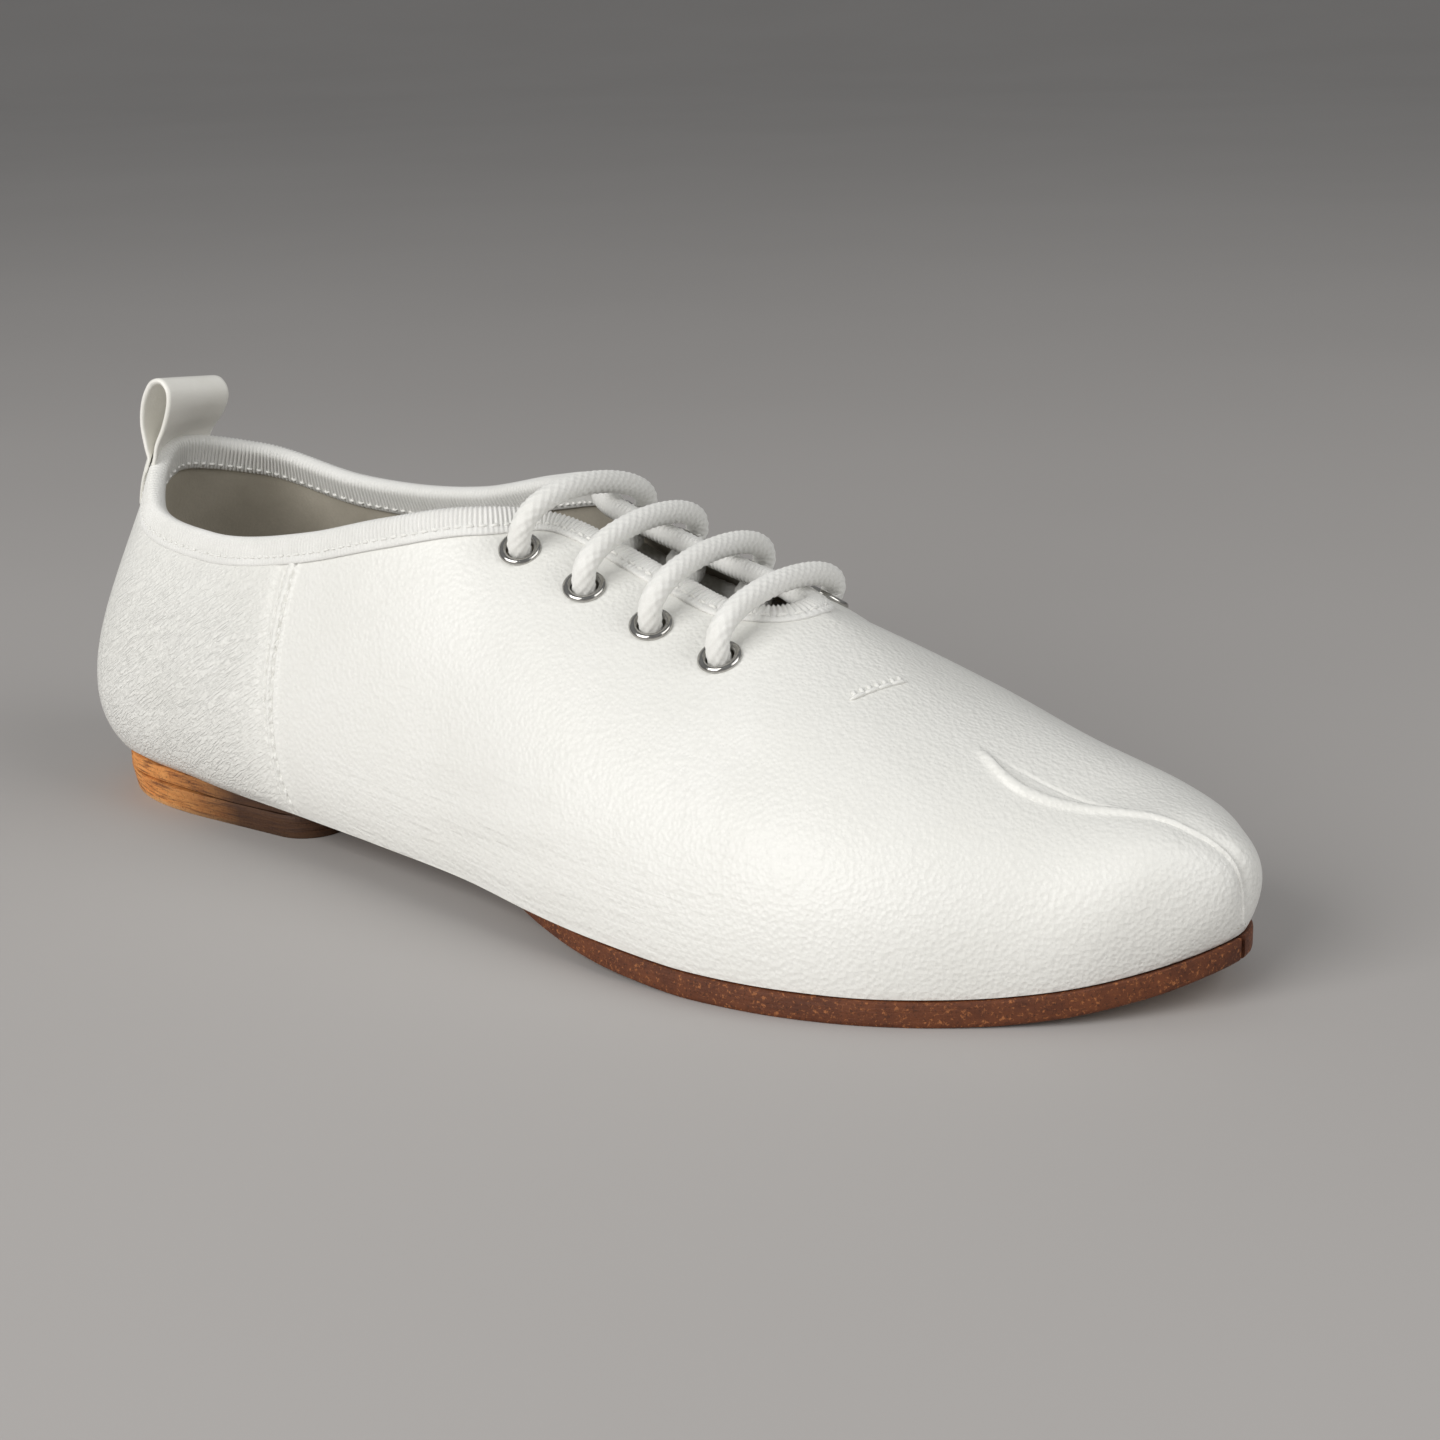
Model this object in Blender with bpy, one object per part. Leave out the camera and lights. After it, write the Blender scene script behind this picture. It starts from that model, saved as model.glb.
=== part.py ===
# Split-toe lace-up shoe, the right shoe of a pair, standing empty on its sole.
# Shoe frame while building: x from the heel to the toe, y to the inner (medial) side, z up, in millimetres.
import bmesh
import bpy
import numpy as np
from mathutils import Vector
from mathutils.bvhtree import BVHTree

# Driving sizes in millimetres
MM = 0.001
WALL = 2.0                # leather and lining together
GAP = 0.3                 # clearance between neighbouring pieces
PANEL_STEP = 0.5          # heel panel lapped over the front of the upper
ROLL_WIDTH = 2.7          # rolled edge along the split of the toe
ROLL_HEIGHT = 0.9
INSOLE_THICK = 2.0
TURN_IN = 1.0             # the wall's foot turns in this far over the outsole
TURN_IN_LEAST = 2.8
SLOT_HALF = 6.1           # half width of the throat slot in the leather
TAPE_THICK = 0.80         # binding tape
TAPE_GAP = 0.4            # from the leather
TAPE_SEAT = 0.5           # from the leather's edge
TAPE_OUTER = 4.8          # how far the tape comes down outside
TAPE_INNER = 5.8          # and inside
EYELET_COUNT = 4
EYELET_HOLE = 3.0
LACE_RADIUS = 2.1
LOOP_WIDTH = 16.5
LOOP_THICK = 1.2
LIFT_HEIGHT = 5.1
NOTCH_DEPTH = 6.5
NOTCH_HALF = 0.7

# Side profile of the outsole: x, underside, top
SOLE_PROFILE = [
    (0.0, 5.4, 8.5),
    (45.0, 5.4, 8.5),
    (72.0, 5.4, 8.5),
    (90.0, 5.2, 8.3),
    (110.0, 4.7, 7.9),
    (130.0, 3.7, 7.0),
    (150.0, 2.2, 5.6),
    (165.0, 0.8, 4.7),
    (180.0, 0.0, 4.2),
    (215.0, 0.0, 4.2),
    (225.0, 0.3, 4.6),
    (235.0, 1.5, 5.8),
    (245.0, 3.9, 8.1),
    (250.0, 5.7, 9.8),
    (256.0, 8.4, 12.4),
]

# Sections of the upper. Each is a curve from the sole's edge (base) to the top edge or the ridge (top).
# facing: plan direction the wall faces; base_out, base_up and top_out, top_up: handles of the curve;
# lean: both handles moved along the shoe; sole_edge: outsole's edge beyond the wall's foot.
SECTION_COLUMNS = ("facing", "base_x", "base_y", "base_out", "base_up",
                   "top_x", "top_y", "top_z", "top_out", "top_up", "lean", "sole_edge")
HEEL_BACK = (180, 5.6, 0.0, 9.6, 12, 10.8, 0.0, 69.4, 6.0, -22, 0, 1.2)
LATERAL = [
    (228, 14.4, -19.8, 11.4, 10, 21.0, -15.0, 60.6, 13.4, -22, 0, 1.2),      # heel turn
    (262, 42.0, -27.8, 9.2, 10, 44.5, -21.8, 57.6, 10.7, -20, 0, -0.6),      # heel side
    (268, 78.0, -33.2, 6.0, 12, 75.5, -24.5, 61.6, 9.0, -20, -3.5, -6.8),    # panel seam
    (270, 100.0, -36.0, 5.0, 14, 95.0, -24.3, 66.5, 10.0, -20, 0, -10.0),    # waist
    (272, 124.0, -39.0, 4.5, 20, 111.4, -17.7, 69.2, 12.0, -12, 0, -7.5),    # collar corner
    (272, 142.0, -42.4, 4.0, 25, 121.6, -6.4, 67.0, 19.0, -3.2, 0, -2.6),    # throat top
    (272, 160.0, -44.3, 3.0, 25, 148.0, -5.2, 58.7, 21.2, -3.8, 0, 0.8),     # throat middle
    (272, 176.0, -45.0, 2.0, 24, 163.5, -4.2, 55.2, 20.7, -3.4, 0, 1.0),     # throat low
    (272, 182.0, -44.7, 2.0, 24, 169.6, 1.9, 55.4, 26.5, -2.8, 0, 1.0),      # throat end
    (278, 197.0, -42.2, 2.0, 24.5, 192.0, -0.5, 47.4, 25.0, -2.6, 0, 1.0),     # vamp
    (290, 213.0, -35.8, 2.0, 20.8, 213.8, -9.1, 37.7, 13.0, -2.3, 0, 1.0),     # split start
    (305, 226.5, -27.3, 2.5, 17, 227.6, -7.1, 32.3, 9.4, -0.2, 0, 1.0),      # toe top
    (318, 240.0, -17.0, 4.0, 14, 243.4, -2.2, 30.1, 8.7, 0.2, 0, 1.0),       # toe brow
    (338, 249.5, -6.5, 3.0, 6, 252.4, 1.2, 24.2, 4.4, -2.0, 0, 1.0),         # toe front
]
MEDIAL = [
    (132, 14.4, 19.8, 10.4, 10, 20.0, 16.0, 66.8, 12.4, -22, 0, 1.0),
    (98, 42.0, 27.6, 8.7, 10, 44.0, 22.4, 61.0, 9.7, -20, 0, -0.6),
    (92, 76.0, 29.3, 6.5, 12, 75.5, 24.5, 61.4, 9.0, -20, -3.5, -4.7),
    (90, 100.0, 28.0, 7.0, 14, 95.0, 24.3, 65.8, 12.0, -20, 0, -6.5),
    (88, 124.0, 30.5, 6.0, 20, 111.4, 17.7, 68.8, 14.0, -12, 0, -6.0),
    (88, 144.0, 34.6, 4.0, 25, 121.6, 9.0, 67.2, 15.0, -4.5, 0, -3.0),
    (88, 164.0, 38.8, 3.0, 26, 148.0, 9.2, 59.4, 15.6, -4.5, 0, 0.4),
    (88, 180.0, 40.6, 2.0, 24, 163.5, 8.0, 56.0, 17.7, -4.0, 0, 1.0),
    (88, 186.0, 40.9, 2.0, 24, 169.6, 1.9, 55.4, 19.5, -3.2, 0, 1.0),
    (84, 201.0, 39.9, 2.0, 25, 192.0, -0.5, 47.4, 27.3, -4.0, 0, 1.0),
    (72, 216.0, 36.8, 2.0, 24, 213.8, -9.1, 37.7, 26.6, 3.2, 0, 1.0),
    (58, 229.5, 31.2, 3.0, 21.7, 227.6, -7.1, 32.3, 27.6, 2.6, 0, 1.0),
    (42, 242.0, 22.5, 4.0, 18, 243.4, -2.2, 30.1, 12.8, 0.0, 0, 1.0),
    (20, 251.0, 11.0, 4.5, 9, 252.4, 1.2, 24.2, 3.8, 0.5, 0, 1.0),
]
TOE_NOTCH = (360, 253.6, 2.0, 0.3, 1, 254.4, 1.8, 14.8, 0.2, -1, 0, 1.0)
SEAM_ROW = 3              # counted from the heel's back
THROAT_LOW_ROW = 8
THROAT_END_ROW = 9
SPLIT_ROW = 11
SIDE_ROWS = len(LATERAL) + 1

# Columns of the upper's mesh in each span from the heel's back to the notch
SPAN_COLUMNS = (6, 5, 4, 4, 4, 4, 4, 3, 4, 3, 3, 3, 3, 3, 3)
LOWER_LEVELS = 7
ROLL_LEVELS = 3

# Pull loop from the heel's tab to its inner end: ahead of the collar edge, above it, how far it wraps round
LOOP_PATH = [
    (-1.2, 2.4, 1.0),
    (-0.9, 3.9, 0.75),
    (0.3, 6.9, 0.4),
    (2.7, 10.9, 0.2),
    (6.6, 14.5, 0.05),
    (9.8, 14.9, 0.0),
    (11.7, 12.7, 0.0),
    (11.6, 9.7, 0.05),
    (9.3, 5.9, 0.25),
    (5.6, 3.8, 0.55),
    (1.6, 2.5, 0.9),
]
LOOP_TAB = (10.0, 7.0, 4.0, 1.0)      # distances below the collar edge where the tab lies on the heel
LOOP_ACROSS = 6

# Outer lace bars: handle along each eyelet's axis and towards the other side, lateral end and medial end
BAR_COLUMNS = ("rise_lateral", "in_lateral", "rise_medial", "in_medial")
LACE_BARS = [
    (19.0, 4.0, 10.5, 3.0),
    (13.0, 1.0, 11.3, 3.8),
    (13.6, 0.5, 11.4, 3.8),
    (13.3, 2.0, 9.6, 3.0),
]
BAR_START = 1.5           # cord's end above the leather, clear of the eyelet

# Eyelets of each side (-1 lateral, 1 medial) from the collar: x and distance from the middle line
EYELET_PLACES = {
    -1: [(121.3, 17.0), (136.3, 17.4), (151.3, 17.8), (166.3, 18.2)],
    1: [(120.0, 18.8), (134.0, 17.0), (149.0, 17.6), (164.4, 17.6)],
}

# Eyelet turned about its axis: radius, height above the leather
EYELET_PROFILE = [
    (2.45, -2.3),
    (2.65, -2.3),
    (2.65, 0.4),
    (3.9, 0.4),
    (3.85, 0.8),
    (3.3, 1.15),
    (2.7, 1.05),
    (2.45, 0.65),
]

# Heel lift in plan
LIFT_BACK_X = 4.3
LIFT_MIDDLE_X = 42.0
LIFT_HALF = 27.2
LIFT_BREAST_X = 71.0
LIFT_CORNER = 8.0
LIFT_POWER = 2.5
LIFT_FOOT = 0.972         # size of its underside against its top


def sole_height(x, column):
    """Underside (1) or top (2) of the outsole at x."""
    table = np.array(SOLE_PROFILE)
    knots = table[:, 0]
    values = table[:, column]
    span = np.diff(knots)
    slope = np.diff(values) / span
    tangent = np.zeros(len(knots))
    flat = slope[:-1] * slope[1:] <= 0
    middle = 2 * slope[:-1] * slope[1:] / np.where(flat, 1, slope[:-1] + slope[1:])
    tangent[1:-1] = np.where(flat, 0, middle)
    tangent[-1] = slope[-1]
    x = np.clip(x, knots[0], knots[-1])
    i = np.clip(np.searchsorted(knots, x, side="right") - 1, 0, len(span) - 1)
    t = (x - knots[i]) / span[i]
    return ((2 * t**3 - 3 * t**2 + 1) * values[i] + (t**3 - 2 * t**2 + t) * span[i] * tangent[i]
            + (-2 * t**3 + 3 * t**2) * values[i + 1] + (t**3 - t**2) * span[i] * tangent[i + 1])


def section_rows():
    """Every section once round the shoe: notch, lateral side to the heel, medial side to the notch."""
    rows = []
    for row in [TOE_NOTCH] + LATERAL[::-1] + [HEEL_BACK] + MEDIAL:
        v = dict(zip(SECTION_COLUMNS, row))
        angle = np.radians(v["facing"])
        out = np.array([np.cos(angle), np.sin(angle), 0.0])
        base_z = float(sole_height(np.array(v["base_x"]), 2)) + GAP
        base = np.array([v["base_x"], v["base_y"], base_z])
        top = np.array([v["top_x"], v["top_y"], v["top_z"]])
        base_handle = base + out * v["base_out"] + np.array([v["lean"], 0.0, v["base_up"]])
        top_handle = top + out * v["top_out"] + np.array([v["lean"], 0.0, v["top_up"]])
        rows.append(np.concatenate([base, base_handle, top_handle, top, out, [v["sole_edge"]]]))
    return np.array(rows)


ROWS = section_rows()
ROW_COUNT = len(ROWS)
STEP = 0.5 * (np.linalg.norm(np.roll(ROWS[:, 0:3], -1, 0) - ROWS[:, 0:3], axis=1)
              + np.linalg.norm(np.roll(ROWS[:, 9:12], -1, 0) - ROWS[:, 9:12], axis=1))
KNOTS = np.concatenate([[0.0], np.cumsum(STEP)])


def row_place(side, row):
    """Position on the loop of a row counted from the heel's back, side -1 lateral or +1 medial."""
    return KNOTS[SIDE_ROWS + side * row]


def sections_at(u):
    """Smooth closed curve through the rows: base, two handles, top, facing and sole edge at each u."""
    span = np.diff(KNOTS)[:, None]
    slope = (np.roll(ROWS, -1, 0) - ROWS) / span
    back = np.roll(span, 1, 0)
    tangent = (np.roll(slope, 1, 0) * span + slope * back) / (span + back)
    u = np.mod(u, KNOTS[-1])
    i = np.clip(np.searchsorted(KNOTS, u, side="right") - 1, 0, ROW_COUNT - 1)
    j = (i + 1) % ROW_COUNT
    t = ((u - KNOTS[i]) / span[i, 0])[:, None]
    return ((2 * t**3 - 3 * t**2 + 1) * ROWS[i] + (t**3 - 2 * t**2 + t) * span[i] * tangent[i]
            + (-2 * t**3 + 3 * t**2) * ROWS[j] + (t**3 - t**2) * span[i] * tangent[j])


def column_places(multiple):
    """Loop positions of the mesh columns, with a close pair at each panel seam."""
    places = []
    for k in range(ROW_COUNT):
        row = k - SIDE_ROWS if k >= SIDE_ROWS else SIDE_ROWS - 1 - k
        count = SPAN_COLUMNS[row] * multiple
        places.append(np.linspace(KNOTS[k], KNOTS[k + 1], count, endpoint=False))
    places = np.concatenate(places)
    for side in (-1, 1):
        seam = row_place(side, SEAM_ROW)
        places = places[np.abs(places - seam) > 1e-6]
        places = np.concatenate([places, [seam - 0.3, seam + 0.3]])
    return np.sort(places)


def is_in_panel(u):
    """True on the heel panel."""
    return (u > row_place(-1, SEAM_ROW)) & (u < row_place(1, SEAM_ROW))


class Surface:
    """Grid of the upper: points[column, level] on the outside, with normals and the inside."""

    def __init__(self, multiple, lower_levels):
        self.u = column_places(multiple)
        rows = sections_at(self.u)
        control = rows[:, :12].reshape(-1, 4, 3)
        self.facing = rows[:, 12:15] / np.linalg.norm(rows[:, 12:15], axis=1)[:, None]
        self.sole_edge = rows[:, 15]
        self.count = len(self.u)
        self.half = int(np.argmin(np.abs(self.u - row_place(1, 0))))
        self.ridge = int(np.argmin(np.abs(self.u - row_place(-1, THROAT_END_ROW))))
        self.round_throat_end(control)
        self.weld_ridge(control[:, 3])
        self.base = control[:, 0]
        self.points = self.levels(control, lower_levels)
        self.normals = self.find_normals(self.points)
        self.points = self.points + self.normals * self.steps()[:, :, None]
        self.inside = self.points - self.normals * (WALL + self.panel_step())[:, :, None]
        self.inside[:, 1] = self.inner_corner()

    def round_throat_end(self, control):
        """Half circle at the slot's front end, between the last two throat rows."""
        for side in (-1, 1):
            low = ROWS[SIDE_ROWS + side * THROAT_LOW_ROW, 9:12]
            end = ROWS[SIDE_ROWS + side * THROAT_END_ROW, 9:12]
            handle = ROWS[SIDE_ROWS + side * THROAT_END_ROW, 6:9]
            rise = SLOT_HALF * (end[2] - handle[2]) / abs(end[1] - handle[1])
            part = self.throat_part(side)
            for k in np.nonzero((part >= 0) & (part <= 1))[0]:
                turn = part[k] * np.pi / 2
                ahead = np.sin(turn)
                across = 1 - np.cos(turn)
                control[k, 3, 0] = end[0] - SLOT_HALF * (1 - ahead)
                control[k, 3, 1] = end[1] + side * SLOT_HALF * (1 - across)
                control[k, 3, 2] = low[2] + (end[2] - low[2] - rise) * ahead + rise * across

    def throat_part(self, side):
        """0 at the last straight throat row, 1 at the slot's front end."""
        low = row_place(side, THROAT_LOW_ROW)
        end = row_place(side, THROAT_END_ROW)
        return (self.u - low) / (end - low)

    def weld_ridge(self, top):
        """Both sides share their top points from the throat's end to the notch."""
        for k in range(1, self.ridge + 1):
            middle = 0.5 * (top[k] + top[self.count - k])
            top[k] = middle
            top[self.count - k] = middle

    def levels(self, control, lower_levels):
        """Points up each section by length, with close levels for the rolled edge at the top."""
        t = np.linspace(0, 1, 61)[None, :, None]
        c = control[:, None]
        dense = ((1 - t)**3 * c[:, :, 0] + 3 * (1 - t)**2 * t * c[:, :, 1]
                 + 3 * (1 - t) * t**2 * c[:, :, 2] + t**3 * c[:, :, 3])
        grid = []
        self.from_top = []
        self.from_base = []
        self.close = []
        for line, facing, edge in zip(dense, self.facing, self.sole_edge):
            run = np.concatenate([[0], np.cumsum(np.linalg.norm(np.diff(line, axis=0), axis=1))])
            close = min(ROLL_WIDTH / ROLL_LEVELS, 0.2 * run[-1])
            low = np.linspace(0, run[-1] - ROLL_LEVELS * close, lower_levels)
            high = run[-1] - close * np.arange(ROLL_LEVELS - 1, -1, -1)
            place = np.concatenate([low, high])
            foot = line[0] - facing * max(TURN_IN_LEAST, TURN_IN - edge)
            foot[2] = sole_height(foot[0], 2) + GAP
            wall = np.stack([np.interp(place, run, line[:, a]) for a in range(3)], 1)
            grid.append(np.concatenate([[foot], wall]))
            self.from_top.append(run[-1] - np.concatenate([[0], place]))
            self.from_base.append(np.concatenate([[0], place]))
            self.close.append(close)
        self.from_top = np.array(self.from_top)
        self.from_base = np.array(self.from_base)
        self.close = np.array(self.close)[:, None]
        return np.array(grid)

    def find_normals(self, points):
        """Outward unit normals, shared along the welded ridge and blended where the throat's end fans out."""
        along = np.roll(points, -1, 0) - np.roll(points, 1, 0)
        up = np.gradient(points, axis=1)
        normals = np.cross(up, along)
        top = normals[:, -1]
        for k in range(1, self.ridge + 1):
            shared = top[k] / np.linalg.norm(top[k]) + top[-k] / np.linalg.norm(top[-k])
            top[k] = shared
            top[-k] = shared
        top[0] = top[1]
        normals = normals / np.linalg.norm(normals, axis=2)[:, :, None]
        for side in (-1, 1):
            part = self.throat_part(side)
            fan = np.nonzero((part >= 0) & (part <= 1))[0]
            first = normals[fan[np.argmin(part[fan])]]
            last = normals[fan[np.argmax(part[fan])]]
            for k in fan:
                blend = (1 - part[k]) * first + part[k] * last
                normals[k] = blend / np.linalg.norm(blend, axis=1)[:, None]
        return normals

    def inner_corner(self):
        """Inside of the corner where the wall's foot turns in over the sole."""
        corner = self.points[:, 1]
        along = np.roll(corner, -1, 0) - np.roll(corner, 1, 0)
        wall = np.cross(self.points[:, 2] - corner, along)
        wall = wall / np.linalg.norm(wall, axis=1)[:, None]
        foot = self.normals[:, 0]
        return corner - WALL * (wall + foot) / (1 + np.sum(wall * foot, axis=1))[:, None]

    def panel_step(self):
        """Extra wall on the heel panel, fading out under the binding and at the foot."""
        fade = np.clip(self.from_top / 2 - 2, 0, 1) * np.clip(self.from_base / 3 - 0.3, 0, 1)
        return np.where(is_in_panel(self.u), PANEL_STEP, 0.0)[:, None] * fade

    def steps(self):
        """Height added outside: the heel panel and the rolled edge of the split."""
        start = row_place(-1, SPLIT_ROW)
        along = np.clip((start - self.u) / 4.0, 0, 1) * np.clip(self.u / 6.0, 0, 1)
        place = self.from_top / self.close
        across = np.clip(np.minimum(place, ROLL_LEVELS - place), 0, 1)
        roll = ROLL_HEIGHT * along[:, None] * across
        return self.panel_step() + roll

    def opening(self):
        """Column numbers round the collar and throat, from the throat's end back to it."""
        return list(range(self.ridge, self.count - self.ridge))


def add_mesh(name, points, faces, material, smooth_angle=None):
    """New object from millimetre points, faces turned outward."""
    mesh = bpy.data.meshes.new(name)
    mesh.from_pydata([tuple(np.asarray(p, float) * MM) for p in points], [], faces)
    work = bmesh.new()
    work.from_mesh(mesh)
    bmesh.ops.remove_doubles(work, verts=work.verts, dist=1e-7)
    bmesh.ops.recalc_face_normals(work, faces=work.faces)
    work.to_mesh(mesh)
    work.free()
    item = bpy.data.objects.new(name, mesh)
    bpy.context.collection.objects.link(item)
    mesh.materials.append(material)
    for face in mesh.polygons:
        face.use_smooth = True
    if smooth_angle is not None:
        mesh.set_sharp_from_angle(angle=smooth_angle)
    return item


def add_material(name, colour, roughness, metallic=0.0):
    """Plain Principled material."""
    material = bpy.data.materials.new(name)
    material.use_nodes = True
    shader = material.node_tree.nodes["Principled BSDF"]
    shader.inputs["Base Color"].default_value = (*colour, 1.0)
    shader.inputs["Roughness"].default_value = roughness
    shader.inputs["Metallic"].default_value = metallic
    return material


def add_upper(surface, material):
    """Closed shell: outside, inside, rim under the foot and rim round the collar and throat."""
    columns, levels = surface.points.shape[:2]
    points = []
    number = {}
    for skin, grid in enumerate((surface.points, surface.inside)):
        for i in range(columns):
            for j in range(levels):
                twin = columns - i
                if j == levels - 1 and twin < i and twin <= surface.ridge:
                    number[skin, i, j] = number[skin, twin, j]
                    continue
                number[skin, i, j] = len(points)
                points.append(grid[i, j])
    faces = []
    for i in range(columns):
        n = (i + 1) % columns
        for skin in (0, 1):
            for j in range(levels - 1):
                faces.append((number[skin, i, j], number[skin, n, j],
                              number[skin, n, j + 1], number[skin, i, j + 1]))
        faces.append((number[0, i, 0], number[0, n, 0], number[1, n, 0], number[1, i, 0]))
    top = levels - 1
    for i in surface.opening():
        n = i + 1
        faces.append((number[0, i, top], number[0, n, top], number[1, n, top], number[1, i, top]))
    return add_mesh("upper", points, faces, material, 0.6)


def surface_tree(surface):
    """Search tree over the outside of the upper."""
    columns, levels = surface.points.shape[:2]
    points = [Vector(p) for p in surface.points.reshape(-1, 3)]
    faces = []
    for i in range(columns):
        n = (i + 1) % columns
        for j in range(levels - 1):
            faces.append((i * levels + j, n * levels + j, n * levels + j + 1, i * levels + j + 1))
    return BVHTree.FromPolygons(points, faces)


def outside_near(tree, point, guide):
    """Nearest point of the outside and its normal, turned like the guide."""
    place, normal, _, _ = tree.find_nearest(Vector(point))
    normal = np.array(normal)
    if normal @ guide < 0:
        normal = -normal
    return np.array(place), normal


def edge_frames(surface):
    """Points, normals and directions into the leather round the collar and throat edge."""
    columns = surface.opening()
    edge = surface.points[columns, -1]
    normals = surface.normals[columns, -1]
    tangent = np.roll(edge, -1, 0) - np.roll(edge, 1, 0)
    inward = np.cross(normals, tangent)
    below = surface.points[columns, -4] - edge
    if np.sum(inward * below) < 0:
        inward = -inward
    return edge, normals, inward / np.linalg.norm(inward, axis=1)[:, None]


def add_binding(surface, tree, material):
    """Tape folded over the edge: a U section carried round the collar and throat."""
    edge, normals, inward = edge_frames(surface)
    wall = WALL + PANEL_STEP
    near = TAPE_GAP
    far = TAPE_GAP + TAPE_THICK
    seat = TAPE_SEAT
    crown = TAPE_SEAT + TAPE_THICK
    section = [
        (TAPE_OUTER, near), (TAPE_OUTER, far - 0.15), (0.3, far), (-seat - 0.4, far - 0.5),
        (-crown, -0.5 * wall), (-seat - 0.4, -wall - far + 0.5), (0.3, -wall - far),
        (TAPE_INNER, -wall - far + 0.15), (TAPE_INNER, -wall - near), (-seat, -wall - near), (-seat, near),
    ]
    points = []
    for e, n, m in zip(edge, normals, inward):
        for down, out in section:
            if down <= 0.3:
                points.append(e + m * down + n * out)
                continue
            place, normal = outside_near(tree, e + m * down, n)
            points.append(place + normal * out)
    count = len(section)
    rings = len(edge)
    faces = []
    for i in range(rings):
        n = (i + 1) % rings
        for j in range(count):
            k = (j + 1) % count
            faces.append((i * count + j, i * count + k, n * count + k, n * count + j))
    return add_mesh("binding", points, faces, material, 0.6)


def eyelet_seat(tree, number, side):
    """Middle of an eyelet on the leather and the leather's normal there."""
    x, distance = EYELET_PLACES[side][number]
    total = np.zeros(3)
    for ahead, across in ((0, 0), (3, 0), (-3, 0), (0, 3), (0, -3)):
        start = Vector((x + ahead, side * distance + across, 120.0))
        place, normal, _, _ = tree.ray_cast(start, Vector((0, 0, -1)))
        if ahead == across == 0:
            middle = np.array(place)
        normal = np.array(normal)
        total += normal * np.sign(normal[2])
    return middle, total / np.linalg.norm(total)


def cross_axes(normal):
    """Two unit directions square to the normal."""
    first = np.cross(normal, (0.0, 1.0, 0.0))
    first = first / np.linalg.norm(first)
    return first, np.cross(normal, first)


def add_eyelet(name, seat, material):
    """Turned ring with a barrel through the leather."""
    place, normal = seat
    first, second = cross_axes(normal)
    around = 14
    count = len(EYELET_PROFILE)
    points = []
    faces = []
    for i in range(around):
        angle = 2 * np.pi * i / around
        n = (i + 1) % around
        for j, (radius, height) in enumerate(EYELET_PROFILE):
            k = (j + 1) % count
            points.append(place + normal * height
                          + radius * (first * np.cos(angle) + second * np.sin(angle)))
            faces.append((i * count + j, i * count + k, n * count + k, n * count + j))
    return add_mesh(name, points, faces, material, 0.7)


def add_hole_cutter(seats, material):
    """Cylinders that cut the eyelet holes."""
    around = 14
    points = []
    faces = []
    for place, normal in seats:
        first, second = cross_axes(normal)
        start = len(points)
        for height in (-6.0, 4.0):
            for i in range(around):
                angle = 2 * np.pi * i / around
                points.append(place + normal * height
                              + EYELET_HOLE * (first * np.cos(angle) + second * np.sin(angle)))
        for i in range(around):
            n = (i + 1) % around
            faces.append((start + i, start + n, start + around + n, start + around + i))
        faces.append(tuple(start + i for i in reversed(range(around))))
        faces.append(tuple(start + around + i for i in range(around)))
    cutter = add_mesh("eyelet_holes", points, faces, material)
    cutter.hide_render = True
    cutter.display_type = "WIRE"
    return cutter


def bezier(a, b, c, d, count):
    """Points along a cubic curve."""
    t = np.linspace(0, 1, count)[:, None]
    return (1 - t)**3 * a + 3 * (1 - t)**2 * t * b + 3 * (1 - t) * t**2 * c + t**3 * d


def add_cord(name, path, radius, around, material):
    """Round cord along a path, closed at both ends."""
    tangent = np.gradient(path, axis=0)
    tangent = tangent / np.linalg.norm(tangent, axis=1)[:, None]
    side = np.cross(tangent[0], (1.0, 0.0, 0.0))
    points = []
    for place, ahead in zip(path, tangent):
        side = side - ahead * (side @ ahead)
        side = side / np.linalg.norm(side)
        other = np.cross(ahead, side)
        for i in range(around):
            angle = 2 * np.pi * i / around
            points.append(place + radius * (side * np.cos(angle) + other * np.sin(angle)))
    faces = []
    for i in range(len(path) - 1):
        for j in range(around):
            k = (j + 1) % around
            faces.append((i * around + j, i * around + k, (i + 1) * around + k, (i + 1) * around + j))
    last = (len(path) - 1) * around
    faces.append(tuple(range(around)))
    faces.append(tuple(last + j for j in range(around)))
    return add_mesh(name, points, faces, material, 0.9)


def lace_bar_path(lateral, medial, row):
    """Arch of the lace from the lateral eyelet over the throat to the medial one."""
    v = dict(zip(BAR_COLUMNS, row))
    start = lateral[0] + lateral[1] * BAR_START
    end = medial[0] + medial[1] * BAR_START
    across = (end - start) / np.linalg.norm(end - start)
    first = start + lateral[1] * v["rise_lateral"] + across * v["in_lateral"]
    second = end + medial[1] * v["rise_medial"] - across * v["in_medial"]
    return bezier(start, first, second, end, 12)


def smooth_path(rows, per_span):
    """Smooth open curve through table rows."""
    rows = np.array(rows, float)
    padded = np.concatenate([[2 * rows[0] - rows[1]], rows, [2 * rows[-1] - rows[-2]]])
    path = []
    for k in range(len(rows) - 1):
        a, b, c, d = padded[k:k + 4]
        for t in np.linspace(0, 1, per_span, endpoint=False):
            path.append(0.5 * (2 * b + (c - a) * t + (2 * a - 5 * b + 4 * c - d) * t**2
                               + (3 * b - a - 3 * c + d) * t**3))
    path.append(rows[-1])
    return np.array(path)


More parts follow.
